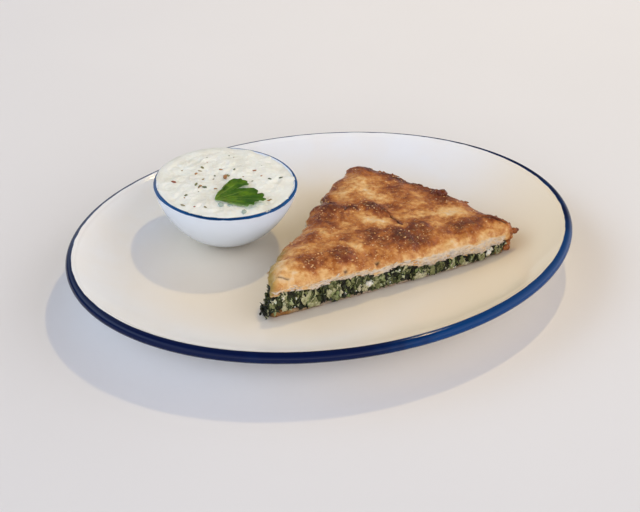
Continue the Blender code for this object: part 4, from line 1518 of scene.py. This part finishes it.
        for along, z, radius, tone in self.bits:
            for _ in range(4):
                a, h = share_at(along + rng.normal(0.0, 0.35) * radius, z + rng.normal(0.0, 0.35) * radius)
                width = radius * rng.uniform(0.6, 1.0) * MM
                shape = shapes.strip(radius * 1.5 * MM, width, 0.8 * MM, rng.uniform(-0.1, 0.1))
                out, slant, tilt = rng.uniform(-0.1, 0.35) * MM, rng.uniform(0.6, 2.2), rng.normal(0.0, 0.2)
                shape, _ = self.set_on(shape, Side.FRONT_CUT, a, h, out, slant, tilt)
                shreds.add(shape, shapes.strip_faces, tone + rng.normal(0.0, 0.05))
        for along, z, radius in self.feta:
            a, h = share_at(along, z)
            lump, out = shapes.crumb(radius * MM, 0.35), -0.35 * radius * MM
            shape, _ = self.set_on(lump, Side.FRONT_CUT, a, h, out, 0.0, 0.0)
            crumbs.add(shape, shapes.ball_faces, 0.5)
        for start, top, proud, count, wide in self.tufts:
            for _ in range(count):
                length, width = rng.uniform(2.0, 4.5) * MM, rng.uniform(0.6, wide) * MM
                shape = shapes.strip(length, width, 0.4 * MM, rng.uniform(-0.35, 0.35))
                along, height = rng.uniform(start, 1.0), rng.uniform(0.02, top)
                out, slant, tilt = rng.uniform(0.1, proud) * MM, rng.uniform(-1.6, 1.6), rng.normal(0.0, 0.8)
                shape, _ = self.set_on(shape, Side.TIP, along, height, out, slant, tilt, True)
                shreds.add(shape, shapes.strip_faces, rng.choice((0.05, 0.2, 0.9), p=(0.6, 0.32, 0.08)))

    def build(self) -> list[bpy.types.Object]:
        """Makes the filling and dresses it."""
        greens = Greens("cooked_spinach", self.shred_stops).material()
        stalks = Greens("cooked_leek_and_stems", self.stem_stops, 0.34)
        core = self.build_core(greens)
        shreds, stems, crumbs = self.scatter()
        made = [
            core,
            shreds.finish("pie_filling_shreds", greens),
            stems.finish("pie_filling_stems", stalks.material()),
            crumbs.finish("pie_filling_feta", Feta().material()),
        ]
        for piece in made:
            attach(piece, BODY)
        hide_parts("pie_filling")
        return made


LUMPS = (
    (79.0, 4.2, 21.9, 3.0, 0.86), (76.8, 6.4, 21.5, 2.6, 0.82), (99.5, -38.0, 11.4, 2.2, 0.52),
    (101.5, -39.2, 10.4, 2.1, 0.6), (103.8, -39.4, 9.8, 1.8, 0.66), (105.7, -39.2, 9.6, 1.5, 0.74),
    (102.0, -36.6, 11.0, 1.6, 0.66), (100.2, -39.8, 7.6, 2.4, 0.46), (98.6, -41.6, 4.8, 2.3, 0.52),
    (97.0, -43.0, 3.2, 2.1, 0.62), (101.2, -38.4, 8.8, 2.2, 0.5),
)


@dataclass
class CrustDetail:
    """Small things on the crust: blisters, a knob, lumps at its corner, flakes and torn bits."""

    wedge: Wedge
    shapes: Shapes = field(default_factory=lambda: Shapes(71))
    tries: int = 9000
    count: int = 230
    flakes: int = 26
    torn: int = 460

    def add_flakes(self, heap: Heap) -> None:
        """Adds thin dark flakes of filo that stand up along the folded rim."""
        rng, outline = self.shapes.rng, self.wedge.outline
        y = outline.points[:, 1]
        straight = (outline.fold > 0.9) & (y < 50.0 * MM) & (y > -34.0 * MM)
        straight = straight & (np.abs(y - 6.0 * MM) > 8.0 * MM)
        for i in rng.choice(np.flatnonzero(straight), self.flakes):
            out = outline.outward[i]
            plan = outline.points[i] - out * rng.uniform(1.2, 3.6) * MM
            z = float(self.wedge.top(plan[None])[0]) + rng.uniform(-1.4, -0.6) * MM
            rise = rng.uniform(0.0, 0.6)
            along, across = np.array([-out[1], out[0], rng.normal(0.0, 0.08)]), np.array([*(out * 0.9), rise])
            axes = np.array([along, across / np.linalg.norm(across), np.cross(along, across)])
            shape = self.shapes.strip(rng.uniform(4.0, 8.5) * MM, rng.uniform(1.6, 3.2) * MM, 0.45 * MM, 0.02)
            heap.add(shape @ axes + (*plan, z), self.shapes.strip_faces, rng.uniform(0.5, 0.92))

    def add_torn(self, heap: Heap) -> None:
        """Adds torn bits of pale dough along the cut edges of the crust."""
        rng, outline = self.shapes.rng, self.wedge.outline
        cuts = np.flatnonzero((outline.fold < 0.3) & (outline.sides != Side.TIP.value))
        for i in rng.choice(cuts, self.torn):
            out = outline.outward[i]
            axes = np.array([[-out[1], out[0], rng.normal(0.0, 0.3)], [0.0, 0.0, 1.0], [out[0], out[1], 0.0]])
            length, width = rng.uniform(1.5, 5.0) * MM, rng.uniform(0.5, 1.4) * MM
            shape = self.shapes.strip(length, width, 0.3 * MM, rng.uniform(-0.15, 0.15))
            ring = int(rng.integers(12, 28))
            spot = self.wedge.edge[ring, i] + (*(out * rng.uniform(-0.1, 0.25) * MM), 0.0)
            tone = float(np.clip(rng.normal(0.06, 0.12), 0.0, 0.5))
            heap.add(shape @ axes + spot, self.shapes.strip_faces, tone)

    def build(self) -> bpy.types.Object:
        """Makes them and dresses them."""
        rng, heap = self.shapes.rng, Heap()
        outline = self.wedge.outline.points
        middle = np.array(self.wedge.middle) * MM
        reach = outline[rng.integers(0, len(outline), self.tries)] - middle
        plan = middle + reach * np.sqrt(rng.random((self.tries, 1))) * 0.97
        browned = self.wedge.bake(plan)
        likely = ease(browned, 0.42, 0.62) * (0.25 + 0.75 * (1.0 - ease(plan[:, 0], -5.0 * MM, 60.0 * MM)))
        plan = plan[rng.random(len(plan)) < likely][: self.count]
        height = self.wedge.top(plan)
        for (x, y), z in zip(plan, height):
            shape = self.shapes.crumb(rng.uniform(0.3, 0.7) * MM, 0.2) * (1.0, 1.0, 0.35)
            # The blisters are paler than the crust round them, partly for their pale blistered dough and
            # partly as painted glints.
            heap.add(shape + (x, y, z - 0.1 * MM), self.shapes.ball_faces, rng.uniform(0.18, 0.4))
        for x, y, rise, radius, tone in LUMPS:
            z = float(self.wedge.floor(np.array([[x, y]]) * MM)[0]) + rise * MM
            heap.add(self.shapes.crumb(radius * MM, 0.12) + (x * MM, y * MM, z), self.shapes.ball_faces, tone)
        self.add_flakes(heap)
        self.add_torn(heap)
        tones = {"bake": np.concatenate(heap.tones)}
        dough = BakedDough("blistered_filo", roughness=0.3).material()
        piece = make_mesh("pie_crust_blisters", np.concatenate(heap.points), heap.faces, dough, tones)
        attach(piece, BODY)
        return piece


@dataclass
class Seasoning:
    """Herb and crushed pepper flecks on the dip; pale bluish-grey ones before the leaf are partly painted
    shadow.
    """

    leaf: Leaf
    shapes: Shapes = field(default_factory=lambda: Shapes(83))
    placed: tuple = (
        (-73, 54, 1.6, 0.95), (-58, 58, 1.3, 0.75), (-56, 51, 1.2, 0.6), (-58, 42, 1.4, 0.3),
        (-60, 44, 1.5, 0.7), (-62, 46, 1.3, 0.4), (-71, 37, 1.3, 0.35), (-42, 58, 1.4, 0.7),
        (-43, 49, 1.9, 0.8), (-41, 50, 1.4, 0.5), (-35, 55, 1.1, 0.3), (-19, 38, 1.0, 0.25),
        (-12, 38, 1.0, 0.2), (-65, 21, 1.1, 0.5), (-76, 28, 1.4, 0.5), (-52, 64, 1.2, 0.45),
        # These three pale bluish-grey bits before the leaf's front stand partly for herb and partly for
        # painted shadow under the leaf.
        (-56, 20, 2.2, 0.0), (-51, 18, 2.2, 0.0), (-46, 9, 1.8, 0.0),
    )
    stops: tuple = (
        # The two palest tones are the bluish grey of the bits that hold painted shadow.
        (0.0, "a3b4a8"), (0.12, "8d9c84"), (0.2, "45523a"), (0.4, "737a50"), (0.6, "9a8660"),
        (0.8, "a2703f"), (1.0, "8e4a34"),
    )

    def build(self) -> bpy.types.Object:
        """Makes the flecks and dresses them."""
        rng, heap = self.shapes.rng, Heap()
        bowl = self.leaf.dip.bowl
        found = list(self.placed)
        for _ in range(26):
            turn, out = rng.uniform(0.0, 2.0 * math.pi), math.sqrt(rng.random()) * 0.94
            x = bowl.middle_x / MM + 38.0 * out * math.cos(turn)
            y = bowl.middle_y / MM + 38.0 * out * math.sin(turn)
            found.append((x, y, rng.uniform(0.3, 0.9) ** 1.3 * 1.3, rng.uniform(0.2, 0.95)))
        heights = self.leaf.rest_height(np.array(found)[:, :2] * MM)
        for (x, y, size, tone), z in zip(found, heights):
            shape = self.shapes.crumb(size * 0.9 * MM, 0.5) * (1.3, 0.75, 0.35)
            turn = np.array(Matrix.Rotation(rng.uniform(0.0, math.pi), 3, "Z"))
            heap.add(shape @ turn.T + (x * MM, y * MM, z + 0.05 * MM), self.shapes.ball_faces, tone)
        piece = heap.finish("dip_herb_flecks", Greens("dried_herbs_and_pepper", self.stops, 0.6).material())
        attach(piece, BODY)
        return piece


# --- studio ------------------------------------------------------------------------------------


class Heading(Enum):
    """Which side of the room a soft light is on, as degrees from the camera's right."""

    RIGHT = 0.0
    BEHIND = 90.0
    LEFT = 180.0
    FRONT = 270.0


class Height(Enum):
    """How high in the room a soft light is."""

    LOW = 0
    MIDDLE = 1


class Lobe(NamedTuple):
    """Soft light from one side of the room, with its colour and strength."""

    heading: Heading
    height: Height
    colour: str
    strength: float


LOBES = (
    Lobe(Heading.LEFT, Height.MIDDLE, "d0e2fa", 3.5),
    Lobe(Heading.RIGHT, Height.MIDDLE, "f4f6ff", 1.8),
    Lobe(Heading.FRONT, Height.MIDDLE, "f4eeff", 0.9),
    Lobe(Heading.BEHIND, Height.MIDDLE, "f8fcff", 0.2),
    Lobe(Heading.RIGHT, Height.LOW, "eef2ff", 2.9),
    Lobe(Heading.FRONT, Height.LOW, "faf8fc", 2.6),
    Lobe(Heading.BEHIND, Height.LOW, "f8fcff", 0.3),
)


@dataclass
class Studio:
    """The floor, the soft light and the camera."""

    lens: float = 70.0
    azimuth: float = math.radians(-23.42)
    elevation: float = math.radians(32.0)
    distance: float = 0.720
    target: Vector = field(default_factory=lambda: Vector((-6.65, -8.46, 13.5)) * MM)
    ceiling: float = 0.25
    lamp_azimuth: float = 40.0
    lamp_elevation: float = 57.0
    lamp_size: float = 0.06
    lamp_distance: float = 1.2
    lamp_power: float = 3.3

    def build_floor(self) -> bpy.types.Object:
        """Makes the pale matt floor."""
        half = 3.0
        points = np.array([(-half, -half, 0.0), (half, -half, 0.0), (half, half, 0.0), (-half, half, 0.0)])
        material, tree, shader = start_material("pale_painted_board", Roughness=0.6, Specular_IOR_Level=0.3)
        tint = mixed(tree, span(tree, cloud(tree, 400.0), 0.3, 0.7), linear("e5e4e3"), linear("e8e7e6"))
        tree.links.new(tint, shader.inputs["Base Color"])
        relief(tree, shader, [(cloud(tree, 3.0), 0.01)])
        floor = make_mesh("floor", points, [[0, 1, 2, 3]], material)
        return floor

    def build_surroundings(self) -> None:
        """Makes the surroundings: cool windows to the left, pale walls to the front and right."""
        world = bpy.data.worlds.new("room_with_windows")
        world.use_nodes = True
        tree = world.node_tree
        way = add_node(tree, "SeparateXYZ", {"Vector": add_node(tree, "TexCoord").outputs["Generated"]})
        x, y, z = (way.outputs[axis] for axis in "XYZ")
        above, top = span(tree, z, 0.2, 0.45), span(tree, z, 0.6, 0.85)
        bands = {
            Height.LOW: maths(tree, "SUBTRACT", 1.0, above),
            Height.MIDDLE: maths(tree, "MULTIPLY", above, maths(tree, "SUBTRACT", 1.0, top)),
        }
        level = maths(tree, "SQRT", maths(tree, "SUBTRACT", 1.0001, maths(tree, "MULTIPLY", z, z)))
        ceiling = add_node(tree, "VectorMath", {0: linear("ffd9b0")[:3], "Scale": top}, operation="SCALE")
        total = add_node(
            tree, "VectorMath", {0: ceiling.outputs[0], "Scale": self.ceiling}, operation="SCALE"
        )
        for lobe in LOBES:
            turn = self.azimuth + math.radians(lobe.heading.value)
            ahead = maths(tree, "MULTIPLY", x, math.cos(turn))
            aside = maths(tree, "MULTIPLY", y, math.sin(turn))
            facing = maths(tree, "DIVIDE", maths(tree, "ADD", ahead, aside), level)
            facing = maths(tree, "POWER", maths(tree, "MAXIMUM", facing, 0.0), 2.0)
            share = maths(tree, "MULTIPLY", facing, bands[lobe.height])
            share = maths(tree, "MULTIPLY", share, lobe.strength)
            colour = {0: linear(lobe.colour)[:3], "Scale": share}
            light = add_node(tree, "VectorMath", colour, operation="SCALE")
            total = add_node(tree, "VectorMath", {0: total.outputs[0], 1: light.outputs[0]}, operation="ADD")
        tree.links.new(total.outputs[0], tree.nodes["Background"].inputs["Color"])
        bpy.context.scene.world = world

    def build_lamp(self) -> None:
        """Makes the warm lamp behind and to the right, which casts the soft shadows."""
        turn, rise = math.radians(self.lamp_azimuth), math.radians(self.lamp_elevation)
        way = Vector((math.cos(turn) * math.cos(rise), math.sin(turn) * math.cos(rise), math.sin(rise)))
        lamp = bpy.data.lights.new("warm_lamp", "AREA")
        lamp.shape = "DISK"
        lamp.size = self.lamp_size
        lamp.energy = self.lamp_power
        lamp.color = linear("ffe3a2")[:3]
        holder = bpy.data.objects.new("warm_lamp", lamp)
        holder.location = way * self.lamp_distance
        holder.rotation_euler = way.to_track_quat("Z", "Y").to_euler()
        bpy.context.scene.collection.objects.link(holder)

    def build_camera(self) -> None:
        """Makes the camera."""
        lens = bpy.data.cameras.new("camera")
        lens.lens = self.lens
        lens.sensor_width = 36.0
        lens.clip_start = 0.01
        camera = bpy.data.objects.new("camera", lens)
        level, up = math.cos(self.elevation), math.sin(self.elevation)
        back = Vector((math.sin(self.azimuth) * level, -math.cos(self.azimuth) * level, up))
        camera.location = self.target + back * self.distance
        camera.rotation_euler = (-back).to_track_quat("-Z", "Y").to_euler()
        bpy.context.scene.collection.objects.link(camera)
        bpy.context.scene.camera = camera
        bpy.context.scene.view_settings.view_transform = "Standard"


def main() -> None:
    """Builds the dish, the floor, the lights and the camera."""
    logging.basicConfig(level=logging.INFO, format="%(message)s")
    plate = Plate()
    bowl = DipBowl(plate)
    dip = Dip(bowl)
    leaf = Leaf(dip)
    wedge = Wedge(plate)
    studio = Studio()
    makers: tuple[Callable, ...] = (
        plate.build, bowl.build, dip.build, leaf.build, Seasoning(leaf).build, wedge.build_top_crust,
        wedge.build_base_crust, lambda: Filling(wedge).build(), CrustDetail(wedge).build, studio.build_floor,
    )
    for make in makers:
        made = make()
        for piece in made if isinstance(made, list) else [made]:
            log.info("made %s with %d faces", piece.name, len(piece.data.polygons))
    studio.build_surroundings()
    studio.build_lamp()
    studio.build_camera()


if __name__ == "__main__":
    main()
